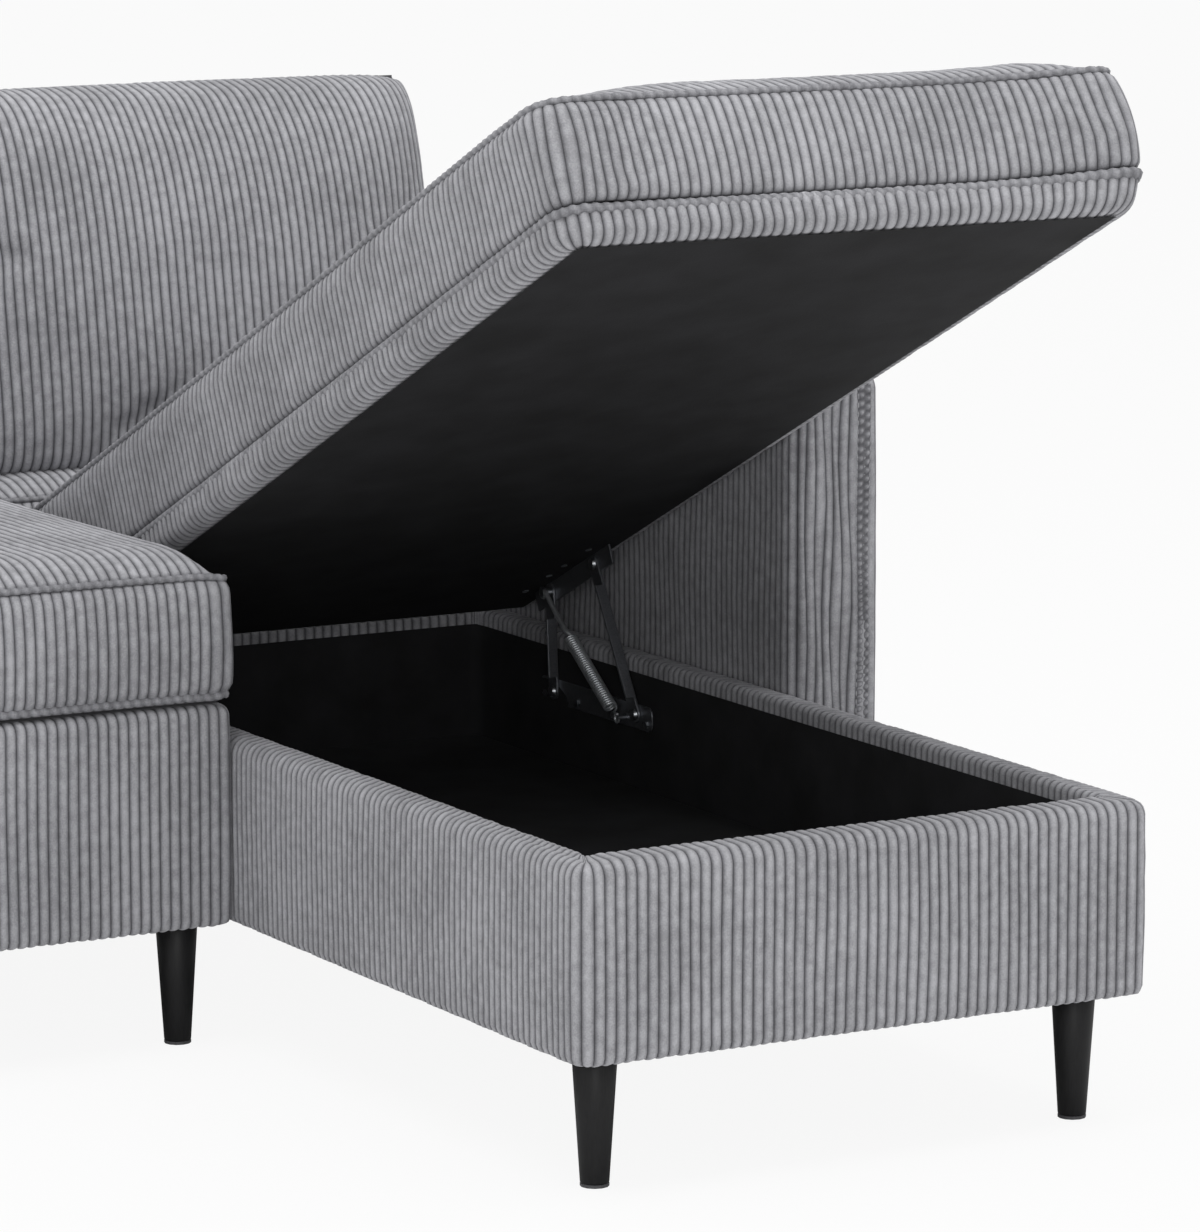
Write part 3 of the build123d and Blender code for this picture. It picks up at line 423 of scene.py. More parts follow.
# The cloth stands off the walls a little in slow waves, and ripples on the floor.
loose = 0.0016 * np.sin(np.pi * drop) * (1 + np.sin(31 * share + 2 * np.sin(5 * share)))
height = lining_floor + lining_depth * (1 - drop)
walls = lattice(x - loose * out_x, y - loose * out_y, height) + (*lining_middle, 0)
u, v = np.meshgrid(np.linspace(-1, 1, 61), np.linspace(-1, 1, 121))
ripple = 0.0008 * (np.sin(9 * u + 5 * v) + np.sin(7 * v - 4 * u) + 2) * (1 - u**8) * (1 - v**8)
bed = lattice(u * lining_half[0], v * lining_half[1], lining_floor + ripple) + (*lining_middle, 0)
grids = [(walls, 0.0, True), (bed, 0.0, False)]
lining = surface("storage_lining_cloth", grids, black_cloth, "frame")
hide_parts("storage_lining")

# Border of the lid: a band of corduroy drawn round the edge of the lid board and tacked to its
# underside, so the wales turn under at the foot. The lid stands open, tilted on its links.
lid_open = math.radians(joints["lid_tilt"]["range_deg"][1] + joints["lid_lift"]["range_deg"][0])


def tilted(angle):
    """Three directions turned about X by an angle, one in each row, from its cosine and sine."""
    level, steep = math.cos(angle), math.sin(angle)
    return np.array([[1, 0, 0], [0, level, -steep], [0, steep, level]])


def node_points(node):
    """Points of a node in the frame, one row for each."""
    mesh = nodes[node].data
    points = np.empty(len(mesh.vertices) * 3, np.float32)
    mesh.vertices.foreach_get("co", points)
    return points.reshape(-1, 3).astype(float)


def extent(node, axes):
    """Lowest and highest place of a node's points along each of three directions."""
    along = node_points(node) @ axes.T
    return along.min(0), along.max(0)


lid_axes = tilted(lid_open)
lid_corner = 0.030
border_low, border_high = extent("lid_border", lid_axes)
border_height = border_high[2] - border_low[2]
foot_round = 0.013
foot_drop = 0.0006
rise = np.linspace(foot_drop + foot_round + 0.002, border_height, 5)
border_profile = np.concatenate(
    [
        [(0.026, foot_drop), (0.019, foot_drop)],
        arc((foot_round, foot_drop + foot_round), foot_round, -90, 0, 7),
        np.stack([0.002 * (rise / border_height) ** 6, rise], -1),
    ]
)


def spread_out(points):
    """Spread of the lid's right side, along its own directions: full at the front, gone before the
    arm that it lies beside when shut, and growing from the foot of the border up. The corner also
    stands higher by the square of that growth."""
    full = 0.023
    raised_by = 0.008
    ahead = np.clip((0.60 - (points[:, :, 1] - border_low[1])) / 0.35, 0, 1)
    ahead = ahead**2 * (3 - 2 * ahead)
    beside = np.clip(1 - (border_high[0] - points[:, :, 0]) / 0.20, 0, 1) ** 2
    above = np.clip((points[:, :, 2] - border_low[2]) / 0.030, 0, 1) ** 0.8
    fuller = (ahead * beside)[:, :, None]
    above = above[:, :, None]
    return points + fuller * (full * above * (1, 0, 0) + raised_by * above**2 * (0, 0, 1))


points, pile = wrapped(border_profile, border_low, border_high, lid_corner)
points = spread_out(points) @ lid_axes
upholstery("lid_border_band", [(points, pile, True)], "lid", "lid_border")


# Dust cloth of the lid: black non-woven cloth stapled over the underside of the lid board, with
# its edge turned in. It hangs a little slack between the staples.
def stapled_cloth(name, node, body, axes, low, high, counts, slack, pull, rests_on):
    """Cloth between two corners along three directions, on a grid with counts of points. It hangs
    down by slack * (1 - u^6)(1 - v^6), with u and v from -1 to 1, and near its edges the staples
    pull it into waves of the height pull."""
    u, v = np.meshgrid(np.linspace(-1, 1, counts[0]), np.linspace(1, -1, counts[1]))
    hang = slack * (1 - u**6) * (1 - v**6)
    waves = np.sin(26 * u + 3 * np.sin(4 * v)) * v**4 * (1 - v**12)
    waves += np.sin(52 * v + 3 * np.sin(3 * u)) * u**4 * (1 - u**12)
    x = (low[0] + high[0] + u * (high[0] - low[0])) / 2
    y = (low[1] + high[1] + v * (high[1] - low[1])) / 2
    under = lattice(x, y, low[2] - hang + pull * waves)
    piece = surface(name, [(under @ axes, 0.0, False)], black_cloth, body)
    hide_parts(node)


# It reaches over the turned-under corduroy of the border, just below its pile.
low, high = extent("lid_dust_cloth", lid_axes)
low = low - (0.005, 0.011, 0.0026)
high = high + (0.005, 0.003, 0)
hung = {"counts": (57, 121), "slack": 0.0018, "pull": 0.0005, "rests_on": ["lid_battens"]}
stapled_cloth("lid_underside_cloth", "lid_dust_cloth", "lid", lid_axes, low, high, **hung)


# Seat cushion of the lid: a boxed foam cushion in corduroy, glued to the lid. A welt closes its
# foot and another its crown, and the wales run up the sides and along the top.
def seam_sides(loop, counts):
    """Four sides of a closed loop: the front and rear run to the right, the right and left rearward."""
    ring = np.concatenate([loop, loop[:1]])
    ends = np.cumsum([0, *counts])
    front, right, rear, left = (ring[ends[way] : ends[way + 1] + 1] for way in range(4))
    return front, right, rear[::-1], left[::-1]


def seam_panel(loop, counts):
    """A grid stretched inside a closed loop: the four edges blended across it (a Coons patch)."""
    front, right, rear, left = seam_sides(loop, counts)
    u = np.linspace(0, 1, counts[0] + 1)[None, :, None]
    v = np.linspace(0, 1, counts[1] + 1)[:, None, None]
    across = (1 - v) * front + v * rear + (1 - u) * left[:, None] + u * right[:, None]
    across -= (1 - v) * ((1 - u) * front[0] + u * front[-1])
    across -= v * ((1 - u) * rear[0] + u * rear[-1])
    return across


def seam_numbers(loop, counts, first_inside):
    """Point numbers of such a grid: the loop's own round its edge, and new ones inside."""
    number = np.zeros((counts[1] + 1, counts[0] + 1), int)
    number[0], number[:, -1], number[-1], number[:, 0] = seam_sides(loop, counts)
    inside = number[1:-1, 1:-1]
    inside[:] = (first_inside + np.arange(inside.size)).reshape(inside.shape)
    return number


def filled(points, faces, held, reach):
    """Cloth simulation of a sewn cover being filled: the air inside presses its points out for
    twenty steps while the held ones stay, and none moves further than its reach."""
    pressure = 4.0
    steps = 20
    mesh = bpy.data.meshes.new("sewn_cover")
    mesh.from_pydata(points.tolist(), [], faces.tolist())
    cover = bpy.data.objects.new("sewn_cover", mesh)
    scene.collection.objects.link(cover)
    cover.vertex_groups.new(name="held").add(np.flatnonzero(held).tolist(), 1.0, "REPLACE")
    swell = cover.modifiers.new("swell", "CLOTH")
    swell.settings.quality = 6
    swell.settings.vertex_group_mass = "held"
    swell.settings.use_pressure = True
    swell.settings.uniform_pressure_force = pressure
    swell.settings.effector_weights.gravity = 0.0
    swell.point_cache.frame_start = 1
    swell.point_cache.frame_end = steps
    for step in range(1, steps + 1):
        scene.frame_set(step)
    after = cover.evaluated_get(bpy.context.evaluated_depsgraph_get()).to_mesh()
    swollen = np.empty(len(points) * 3, np.float32)
    after.vertices.foreach_get("co", swollen)
    normal = np.empty(len(points) * 3, np.float32)
    mesh.vertex_normals.foreach_get("vector", normal)
    normal = normal.reshape(-1, 3)
    move = swollen.reshape(-1, 3) - points
    # Foam behind the cover lets it sink by no more than 2 mm.
    foam_gives = 0.002
    sunk = np.minimum((move * normal).sum(1) + foam_gives, 0)
    move -= sunk[:, None] * normal
    length = np.maximum(np.linalg.norm(move, axis=1), 1e-9)[:, None]
    bpy.data.objects.remove(cover)
    scene.frame_set(1)
    return points + move * np.minimum(1, reach / length)


def smooth_between(grid, at, axis, closed=False):
    """A grid read between its rows or columns, on the cubic through four neighbours (Catmull-Rom)."""
    count = grid.shape[axis]
    first = np.floor(at).astype(int)
    if not closed:
        first = np.clip(first, 0, count - 2)
    t = at - first
    shares = [
        -0.5 * t + t**2 - 0.5 * t**3,
        1 - 2.5 * t**2 + 1.5 * t**3,
        0.5 * t + 2 * t**2 - 1.5 * t**3,
        -0.5 * t**2 + 0.5 * t**3,
    ]
    shape = [1] * grid.ndim
    shape[axis] = len(at)
    total = 0
    for offset, part in zip((-1, 0, 1, 2), shares):
        pick = (first + offset) % count if closed else np.clip(first + offset, 0, count - 1)
        total = total + part.reshape(shape) * np.take(grid, pick, axis)
    return total


def facing(points, closed=False):
    """Outward directions of a grid: its step along the columns crossed with its step along the rows."""
    if closed:
        across = np.roll(points, -1, 1) - np.roll(points, 1, 1)
    else:
        across = np.gradient(points, axis=1)
    return unit(np.cross(across, np.gradient(points, axis=0)))


def napped(points, pile, edge, closed=False):
    """A cover with its wales raised along the outward directions. Near an edge, given as a distance from
    the seam, the wales fade and the cloth is drawn in by the stitches, and the pile value falls to a
    fifth, a painted shade in the crease of the seam."""
    fade = np.clip(edge / 0.006, 0, 1) ** 0.6
    drawn = 0.0032 * (1 - np.clip(edge / 0.009, 0, 1)) ** 2
    lift = wale_depth * pile * fade * crushed(points) - drawn
    return points + facing(points, closed) * lift[:, :, None], pile * (0.2 + 0.8 * fade)


def to_edge(share):
    """Share of a stretch between a place on it and its nearer end."""
    return np.minimum(share, 1 - share)


def wales_across(width):
    """Wales across a panel, with its last edge, and the height of the pile there."""
    share, pile = wales(round(width / wale_spacing))
    return np.append(share, 1.0), np.append(pile, 0.0)


def welt(path, tall, deep):
    """Cord covered in the same cloth and caught in a seam: an oval carried round a closed path, with the
    wales of its cover winding round it. Its pile value is painted shade: lighter where the cord faces
    out, darker above and below it and between the winding wales."""
    along = unit(np.roll(path, -1, 0) - np.roll(path, 1, 0))
    outward = unit(np.cross(along, (0, 0, 1)))
    upward = np.cross(outward, along)
    step = np.linalg.norm(np.diff(path, axis=0), axis=1)
    run = np.concatenate([[0], np.cumsum(step)])[None, :, None]
    angle = np.linspace(-np.pi, np.pi, 9)[:, None, None]
    wound = np.cos(2 * np.pi * run / wale_spacing + 0.8 * angle)
    size = 1 + 0.16 * wound
    ring = path + size * (deep * np.cos(angle) * outward + tall * np.sin(angle) * upward)
    # Painted shade of the cord: lighter where it faces out, darker above and below, and darker between
    # the wound wales.
    shade = (0.62 + 0.26 * np.cos(angle)) * (0.80 + 0.20 * wound)
    return ring, shade[:, :, 0], True


def moved(grids, change):
    """Grids with their points put through a change."""
    return [(change(points), pile, closed) for points, pile, closed in grids]


def boxed_cushion(node, axes, corner, side, crown, foot_tuck, seam_inset, shoulder, reach, room, welts):
    """A boxed cushion in the space of its node: a loop of border, then a crowned top, filled.

    side is the border's height and crown the rise of the top above it, in front and behind. The
    border is drawn in by foot_tuck at its foot and by seam_inset at its upper seam, and is full
    between them. The top rises over the width of a shoulder, 1 - (1 - share of it)^2.2. Filling moves
    the cover by no more than reach, and neighbours leave it room. Shoulder and room are each given
    for the low sides, left and front, and for the high ones. Each welt gives its height on the
    border, and its own height and depth. Returns the grids in the frame."""
    low, high = extent(node, axes)
    half = (high - low)[:2] / 2
    middle = (high + low)[:2] / 2
    cell = 0.022
    counts = [round(2 * half[way % 2] / cell) for way in range(4)]
    share = np.concatenate([way + np.arange(counts[way]) / counts[way] for way in range(4)])
    part = share - np.floor(share)
    level = np.array([0, 0.05, 0.14, 0.32, 0.54, 0.76, 0.91, 1.0])[:, None]
    drawn_in = 0.003 * (1 - (2 * part - 1) ** 2)
    inset = foot_tuck * (1 - np.clip(level / 0.14, 0, 1)) ** 2 + seam_inset * level**1.6
    fullness = 0.007 * np.sin(np.pi * level) ** 0.8
    inset = inset + drawn_in - fullness
    x, y, _, _ = rounded_loop(share, half, corner, inset)
    # The upper seam drops a little at the corners, where the top is sewn to the border under tension.
    drop = 0.0015 * level**2 * np.abs(2 * part - 1) ** 14
    border = lattice(x + middle[0], y + middle[1], low[2] + level * side - drop)
    top = seam_panel(border[-1], counts)
    away = np.minimum((top - low)[:, :, :2] / shoulder[0], (high - top)[:, :, :2] / shoulder[1])
    dome = (1 - (1 - np.clip(away, 0, 1)) ** 2.2).prod(2)
    # Filling will raise the top by most of its reach.
    top[:, :, 2] += (np.linspace(*crown, counts[1] + 1)[:, None] - 0.8 * reach) * dome
    foot = seam_panel(border[0], counts)
    border_number = np.arange(border[:, :, 0].size).reshape(len(level), -1)
    inside = (counts[0] - 1) * (counts[1] - 1)
    top_number = seam_numbers(border_number[-1], counts, border_number.size)
    foot_number = seam_numbers(border_number[0], counts, border_number.size + inside)
    every = [border.reshape(-1, 3), top[1:-1, 1:-1].reshape(-1, 3), foot[1:-1, 1:-1].reshape(-1, 3)]
    every = np.concatenate(every)
    closed_number = np.hstack([border_number, border_number[:, :1]])
    faces = np.concatenate([cells(closed_number), cells(top_number), cells(foot_number[:, ::-1])])
    held = np.zeros(len(every), bool)
    held[foot_number] = True
    every = filled(every, faces, held, reach)
    every = np.clip(every, low - room[0], high + room[1])
    border = every[border_number]
    # Wadding under the top evens out what the filling did: each shift nears the mean of its neighbours.
    shift = every[top_number] - top
    for _ in range(3):
        beside = shift[:-2, 1:-1] + shift[2:, 1:-1] + shift[1:-1, :-2] + shift[1:-1, 2:]
        shift[1:-1, 1:-1] = beside / 4
    top = top + shift
    # Border: its wales run from one welt to the other, and fade where the cloth is sewn in.
    shares, pile = loop_wales(half, corner)
    way = np.floor(shares).astype(int)
    starts = np.cumsum([0, *counts])
    column = starts[way] + (shares - way) * np.array(counts)[way]
    rows = np.array([0, 0.03, 0.06, 0.1, 0.15, 0.22, 0.32, 0.44, 0.56, 0.68, 0.78, 0.86, 0.92, 0.96, 1])
    row_number = np.arange(len(level))
    between = np.interp(rows, level[:, 0], row_number)
    fine = smooth_between(smooth_between(border, column, 1, True), between, 0)
    height = side * rows[:, None]
    edge = np.minimum(height, side - height)
    for welt_height, _, _ in welts:
        edge = np.minimum(edge, np.abs(height - welt_height))
    fine, fine_pile_and_painted_shade = napped(fine, pile, np.broadcast_to(edge, fine.shape[:2]), True)
    # Top: its wales run from front to rear, and its rows lie closer together near the two seams.
    across, pile = wales_across(2 * half[0])
    even = np.linspace(0, 1, round(1.6 * counts[1]) + 1)
    along = even - 0.06 * np.sin(2 * np.pi * even)
    crowned = smooth_between(smooth_between(top, across * counts[0], 1), along * counts[1], 0)
    edge = np.minimum.outer(2 * half[1] * to_edge(along), 2 * half[0] * to_edge(across))
    crowned, crowned_pile_and_painted_shade = napped(crowned, pile, edge)
    # The foot panel underneath has a fixed pile value of 0.3, a painted shade under the cushion.
    grids = [(fine, fine_pile_and_painted_shade, True), (crowned, crowned_pile_and_painted_shade, False), (foot[:, ::-1], 0.3, False)]
    around = np.linspace(0, len(share), 8 * len(share), endpoint=False)
    for welt_height, tall, deep in welts:
        row = np.interp([welt_height / side], level[:, 0], row_number)
        line = smooth_between(border, row, 0) + (0, 0, min(welt_height, 0))
        grids.append(welt(smooth_between(line, around, 1, True)[0], tall, deep))
    return moved(grids, lambda points: points @ axes)


lid_side = 0.0975
lid_low, lid_high = extent("lid_cushion", lid_axes)
lid_crown = lid_high[2] - lid_low[2] - lid_side - 0.002
# The seat cushion, the arm and the pad stand close to the shut lid, so it swells to the front only.
lid_sewn = {
    "corner": lid_corner,
    "side": lid_side,
    "crown": (lid_crown, lid_crown),
    "foot_tuck": 0.001,
    "seam_inset": 0.004,
    "shoulder": ((0.20, 0.125), (0.070, 0.125)),
    "reach": 0.004,
    "room": ((-0.003, 0.012, 0), (-0.001, -0.0015, 0.003)),
    "welts": [(-0.004, 0.0044, 0.0030), (lid_side, 0.0034, 0.0030)],
}
grids = boxed_cushion("lid_cushion", lid_axes, **lid_sewn)
grids = moved(grids, lambda points: spread_out(points @ lid_axes.T) @ lid_axes)
upholstery("lid_seat_cushion", grids, "lid", "lid_cushion")

# Seat cushions of the main unit: two boxed foam cushions like the lid's, loose on the webbing,
# each with a welt round its foot and another round its crown.
upright = np.eye(3)
seat_side = 0.118
seat_sewn = {
    "corner": 0.009,
    "side": seat_side,
    "foot_tuck": 0.008,
    "seam_inset": 0.0,
    "shoulder": ((0.030, 0.070), (0.030, 0.070)),
    "reach": 0.012,
    "room": ((0.003, 0.012, 0), (0.003, 0.001, 0.0095)),
    "welts": [(0.008, 0.0042, 0.0030), (seat_side, 0.0034, 0.0030)],
}
for side in ("left", "right"):
    node = f"seat_cushion_{side}"
    seat_low, seat_high = extent(node, upright)
    seat_crown = seat_high[2] - seat_low[2] - seat_side
    # Behind, the back cushion presses it lower.
    grids = boxed_cushion(node, upright, crown=(seat_crown + 0.010, seat_crown), **seat_sewn)
    upholstery(f"{side}_seat_cushion", grids, "frame", node)

# Pad behind the lid: a narrow boxed cushion, fixed on its own deck, that stays down when the lid
# goes up and carries the chaise's back cushion.
pad_low, pad_high = extent("chaise_rear_pad", upright)
pad_crown = pad_high[2] - pad_low[2] - seat_side
pad_sewn = dict(
    seat_sewn,
    corner=0.020,
    crown=(pad_crown, pad_crown),
    foot_tuck=0.010,
    seam_inset=0.006,
    shoulder=((0.055, 0.055), (0.055, 0.055)),
    room=((0.003, 0.003, 0), (0.003, 0.001, 0.003)),
)
grids = boxed_cushion("chaise_rear_pad", upright, **pad_sewn)
upholstery("rear_seat_pad", grids, "frame", "chaise_rear_pad")

# Back cushions: three fibre-filled covers that lean on the back. The wales run up the front, over
# the top and round the sides to a welted seam behind.
cushion_lean = math.radians(6)
cushion_axes = tilted(cushion_lean - math.pi / 2)


def squared_arch(half, rise, power, count):
    """Evenly spaced points on half of a squared oval, |x / half|^p + |z / rise|^p = 1."""
    angle = np.linspace(0, np.pi, 1441)
    x = -half * np.sign(np.cos(angle)) * np.abs(np.cos(angle)) ** (2 / power)
    z = rise * np.abs(np.sin(angle)) ** (2 / power)
    length = np.concatenate([[0], np.cumsum(np.hypot(np.diff(x), np.diff(z)))])
    even = np.linspace(0, length[-1], count + 1)
    return np.interp(even, length, x), np.interp(even, length, z), length[-1]


for side in ("left", "middle", "right"):
    node = f"back_cushion_{side}"
    low, high = extent(node, cushion_axes)
    half = (high - low)[:2] / 2 + (0.0015, -0.002)
    thick = high[2] - low[2] - 0.016
    x, side_rise, girth = squared_arch(half[0], thick, power=4.5, count=40)
    y, front_rise, length = squared_arch(half[1], thick, power=3.2, count=32)
    # The foot is squarer than the top, because the cushion stands on it.
    squarer = thick * (1 - np.abs(y / half[1]) ** 7) ** (1 / 7)
    front_rise = np.where(y < 0, np.maximum(front_rise, squarer), front_rise)
    narrow = 1 - 0.008 * np.clip((np.abs(y / half[1]) - 0.2) / 0.8, 0, 1) ** 2
    short = (1 - 0.25 * np.abs(x / half[0]) ** 10) ** (1 / 10)
    y = np.where(y < 0, 1.105 * y, y) - 0.004
    # Filling settles, so the lower half is the fuller one.
    settled = 1 - 0.10 * y / half[1]
    rise = (front_rise * settled)[:, None] * side_rise / thick
    front = lattice(narrow[:, None] * x, y[:, None] * short, rise)
    rear = front * (1, 1, 0)
    number = np.arange(rise.size).reshape(rise.shape)
    rear_number = number.copy()
    inside = rear_number[1:-1, 1:-1]
    inside[:] = (number.size + np.arange(inside.size)).reshape(inside.shape)
    every = np.concatenate([front.reshape(-1, 3), rear[1:-1, 1:-1].reshape(-1, 3)])
    faces = np.concatenate([cells(number), cells(rear_number[:, ::-1])])
    held = np.zeros(len(every), bool)
    held[rear_number] = True
    front = filled(every, faces, held, reach=0.018)[number]
    across, pile = wales_across(girth)
    along = np.linspace(0, 1, 81)
    fine = smooth_between(smooth_between(front, across * (len(x) - 1), 1), along * (len(y) - 1), 0)
    edge = np.minimum.outer(length * to_edge(along), girth * to_edge(across))
    fine, pile = napped(fine, pile, edge)
    ring = np.concatenate([rear[0, :-1], rear[:-1, -1], rear[-1, :0:-1], rear[:0:-1, 0]])
    ring = smooth_between(ring[None], np.linspace(0, len(ring), 800, endpoint=False), 1, True)[0]
    # Panel behind: flat, with its own upright wales.
    across, rear_pile_and_painted_shade = wales(round(2 * half[0] / wale_spacing))
    along = np.linspace(y[0], y[-1], 41)
    width = np.interp(along, y, narrow)[:, None] * half[0]
    behind = lattice(width * (1 - 2 * across), along[:, None], 0.0)
    seam = np.minimum(along - along[0], along[-1] - along)
    seam = np.minimum.outer(seam, 2 * half[0] * to_edge(across))
    grids = [(fine, pile, False), (*napped(behind, rear_pile_and_painted_shade, seam), False), welt(ring, 0.003, 0.003)]
    middle = np.array([*(low + high)[:2] / 2, low[2] + 0.002])
    grids = moved(grids, lambda points: (points + middle) @ cushion_axes)
    upholstery(f"{side}_back_cushion", grids, "frame", node)

# Base of the main unit: corduroy over a thin wadding, drawn up over the rails and tacked on top
# of them, under the seat cushions, and below.
base_low, base_high = extent("main_cover", upright)
base_height = base_high[2] - base_low[2] - wale_depth
base_round = 0.010
base_profile = np.concatenate(
    [
        padded_wall(base_height, base_round, 10),
        arc((base_round, base_height - base_round), base_round, 15, 90, 5),
        [(0.030, base_height), (0.050, base_height)],
    ]
)
points, pile = wrapped(base_profile, base_low, base_high, corner=0.008)
upholstery("main_base_cover", [(points, pile, True)], "frame", "main_cover")

# Panel behind the storage box: a board covered in corduroy that closes the gap between the box
# and the deck under the rear pad.
panel_low, panel_high = extent("chaise_rear_panel", upright)
panel_height = panel_high[2] - panel_low[2] - wale_depth
panel_profile = np.array([(0.003, 0.0), (0.001, 0.002), (0, 0.006), (0, 0.1), (0, panel_height - 0.003)])
panel_profile = np.concatenate([panel_profile, [(0.001, panel_height - 0.001), (0.0025, panel_height)]])
points, pile = wrapped(panel_profile, panel_low, panel_high, corner=0.003)
upholstery("rear_panel_cover", [(points, pile, True)], "frame", "chaise_rear_panel")


# Arms: padded frames in corduroy. The wales run up the four sides and across the top, and a
# felled seam, sewn down in two rows, stands along the outer edge of the front.
def upholstered(low, high, corner, top_round, wander):
    """A tall padded box: the loop of its walls up to a rounded edge, then a top whose wales join
    those of its two long sides, which wander. The top's columns run along the longer way."""
    half = (high - low)[:2] / 2 - wale_depth
    tall = high[2] - low[2] - wale_depth
    rise = np.linspace(0.006, tall - top_round, 14)
    profile = np.concatenate(
        [
            [(0.020, wale_depth), (0.006, wale_depth), (0.0016, wale_depth + 0.0016)],
            np.stack([-0.002 * np.sin(np.pi * rise / tall), rise], -1),
            arc((top_round, tall - top_round), top_round, 10, 90, 8),
        ]
    )
    walls, pile = wrapped(profile, low, high, corner, wander)
    shares, _ = loop_wales(half, corner)
    long_way = 1 if half[1] > half[0] else 0
    near = np.floor(shares) == long_way
    far = np.floor(shares) == long_way + 2
    start = walls[-1][near]
    end = np.roll(walls[-1][far][::-1], 1, 0)
    end[0] = end[1]
    t = np.linspace(0, 1, 9)[:, None, None]
    top = (1 - t) * start + t * end
    return [(walls, pile, True), (top, pile[-1][near], False)]


def eased(points, edge, way, radius):
    """A box with one upright edge rounded: nearer to the edge than the radius, each point's offset
    from the middle of the round is shortened by its larger part over its length."""
    middle = np.array(edge) - np.array(way) * radius
    offset = np.maximum((points[:, :, :2] - middle) * way, 1e-9)
    inside = (offset > 1e-9).all(2)
    shorter = np.where(inside, offset.max(2) / np.linalg.norm(offset, axis=2), 1)[:, :, None]
    rounded = points.copy()
    rounded[:, :, :2] = np.where(inside[:, :, None], middle + offset * shorter * way, points[:, :, :2])
    return rounded


for side, inward in (("left", 1), ("right", -1)):
    node = f"arm_cover_{side}"
    arm_low, arm_high = extent(node, upright)
    grids = upholstered(arm_low, arm_high, corner=0.007, top_round=0.024, wander=0.0022)
    # The edge between the front and the inner side is softly padded.
    inner_edge = (arm_high[0] if inward > 0 else arm_low[0], arm_low[1])
    grids = moved(grids, lambda points: eased(points, inner_edge, (inward, -1), radius=0.024))
    upholstery(f"{side}_arm", grids, "frame", node)

# Back: a padded frame in corduroy along the whole width, a little lower than its cushions. The
# wales run up the front, over the top and down the rear.
back_low, back_high = extent("back_cover", upright)
grids = upholstered(back_low, back_high, corner=0.014, top_round=0.018, wander=0.0012)
upholstery("back_rest", grids, "frame", "back_cover")

# Dust cloths of the two bases: black non-woven cloth stapled under the rails, a little slack.
# They keep dust and loose fibres in, and hide the webbing.
hung = {"counts": (61, 61), "slack": 0.003, "pull": 0.0, "rests_on": ["corner_blocks"]}
for base in ("main", "chaise"):
    node = f"{base}_dust_cloth"
    low, high = extent(node, upright)
    stapled_cloth(f"{base}_underside_cloth", node, "frame", upright, low, high, **hung)

# Legs: turned beech, tapered and sprayed black with a satin lacquer, screwed to a steel plate
# under the base by a hanger bolt. A plastic glide is tapped into each foot.
# Pores of the wood run up the leg, 1.5 mm apart and 12 mm long, and still show through the paint.
satin = {"Specular IOR Level": 0.25, "Coat Weight": 0.04, "Coat Roughness": 0.25}
pore = (0.0015, 0.0015, 0.012)
blacks = ("#0d0d0e", "#171718")
leg_black, tree, lacquer, pores = mottled(
    "black_lacquered_beech", satin, pore, 2.0, blacks, (0.35, 0.65), gloss=(0.42, 0.6)
)
raised(tree, lacquer, pores, 0.12, 0.0004)


def separate(node):
    """Points of each separate piece of a node, told apart by gaps along X wider than 50 mm."""
    points = node_points(node)
    points = points[np.argsort(points[:, 0])]
    return np.split(points, np.flatnonzero(np.diff(points[:, 0]) > 0.05) + 1)


def turned_leg(points, top):
    """A turned leg: a straight taper between the widths of its node at the foot and at the top, with
    both edges eased, carried round an upright axis."""
    foot = points[:, 2].min()
    lowest = points[points[:, 2] < foot + 0.004]
    foot_radius = np.ptp(lowest[:, 0]) / 2
    top_radius = np.ptp(points[:, 0]) / 2
    middle = (points.max(0) + points.min(0)) / 2
    edge = 0.0015
    profile = np.array(
        [
            (0.0, foot),
            (foot_radius - edge, foot),
            (foot_radius - 0.3 * edge, foot + 0.3 * edge),
            (foot_radius, foot + edge),
            ((foot_radius + top_radius) / 2, (foot + top) / 2),
            (top_radius, top - edge),
            (top_radius - edge, top),
            (0.0, top),
        ]
    )
    turn = np.linspace(0, 2 * np.pi, 48, endpoint=False)
    radius, height = profile[:, :1], profile[:, 1:]
    ring = lattice(middle[0] + radius * np.cos(turn), middle[1] + radius * np.sin(turn), height)
    return ring, 0.0, True


leg_top = base_low[2]
for node in ("chaise_leg_left", "chaise_leg_right", "main_leg_left", "main_leg_right", "rear_legs"):
    grids = [turned_leg(points, leg_top) for points in separate(node)]
    leg = surface(f"{node}_turned", grids, leg_black, "frame")
    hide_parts(node)

# Boards, rails and frames: sawn softwood and plywood, glued and screwed, all hidden by the covers
# once the sofa is upholstered. Each keeps its shape and gets the look of bare wood.
# Growth rings 7 mm apart run along the boards, and saw marks 1.2 mm apart lie across them.
ring_size = (0.09, 0.007, 0.007)
bare_wood, tree, plank, _ = mottled(
    "sawn_softwood", {"Roughness": 0.75}, ring_size, 3.0, ("#a97f4f", "#d6b483"), (0.3, 0.7)
)
raised(tree, plank, noise(tree, 0.0012, 1.0), 0.25, 0.0003)


def finish_nodes(names, material):
    """Gives kept nodes one finish."""
    for name in names:
        for place in nodes[name].material_slots:
            place.material = material


boards = [name for name in nodes if name.endswith(("_board", "_rail", "_frame", "_deck"))]
boards += ["arm_frame_left", "arm_frame_right", "corner_blocks"]
boards += ["storage_floor", "lid_panel", "lid_battens"]
finish_nodes(boards, bare_wood)

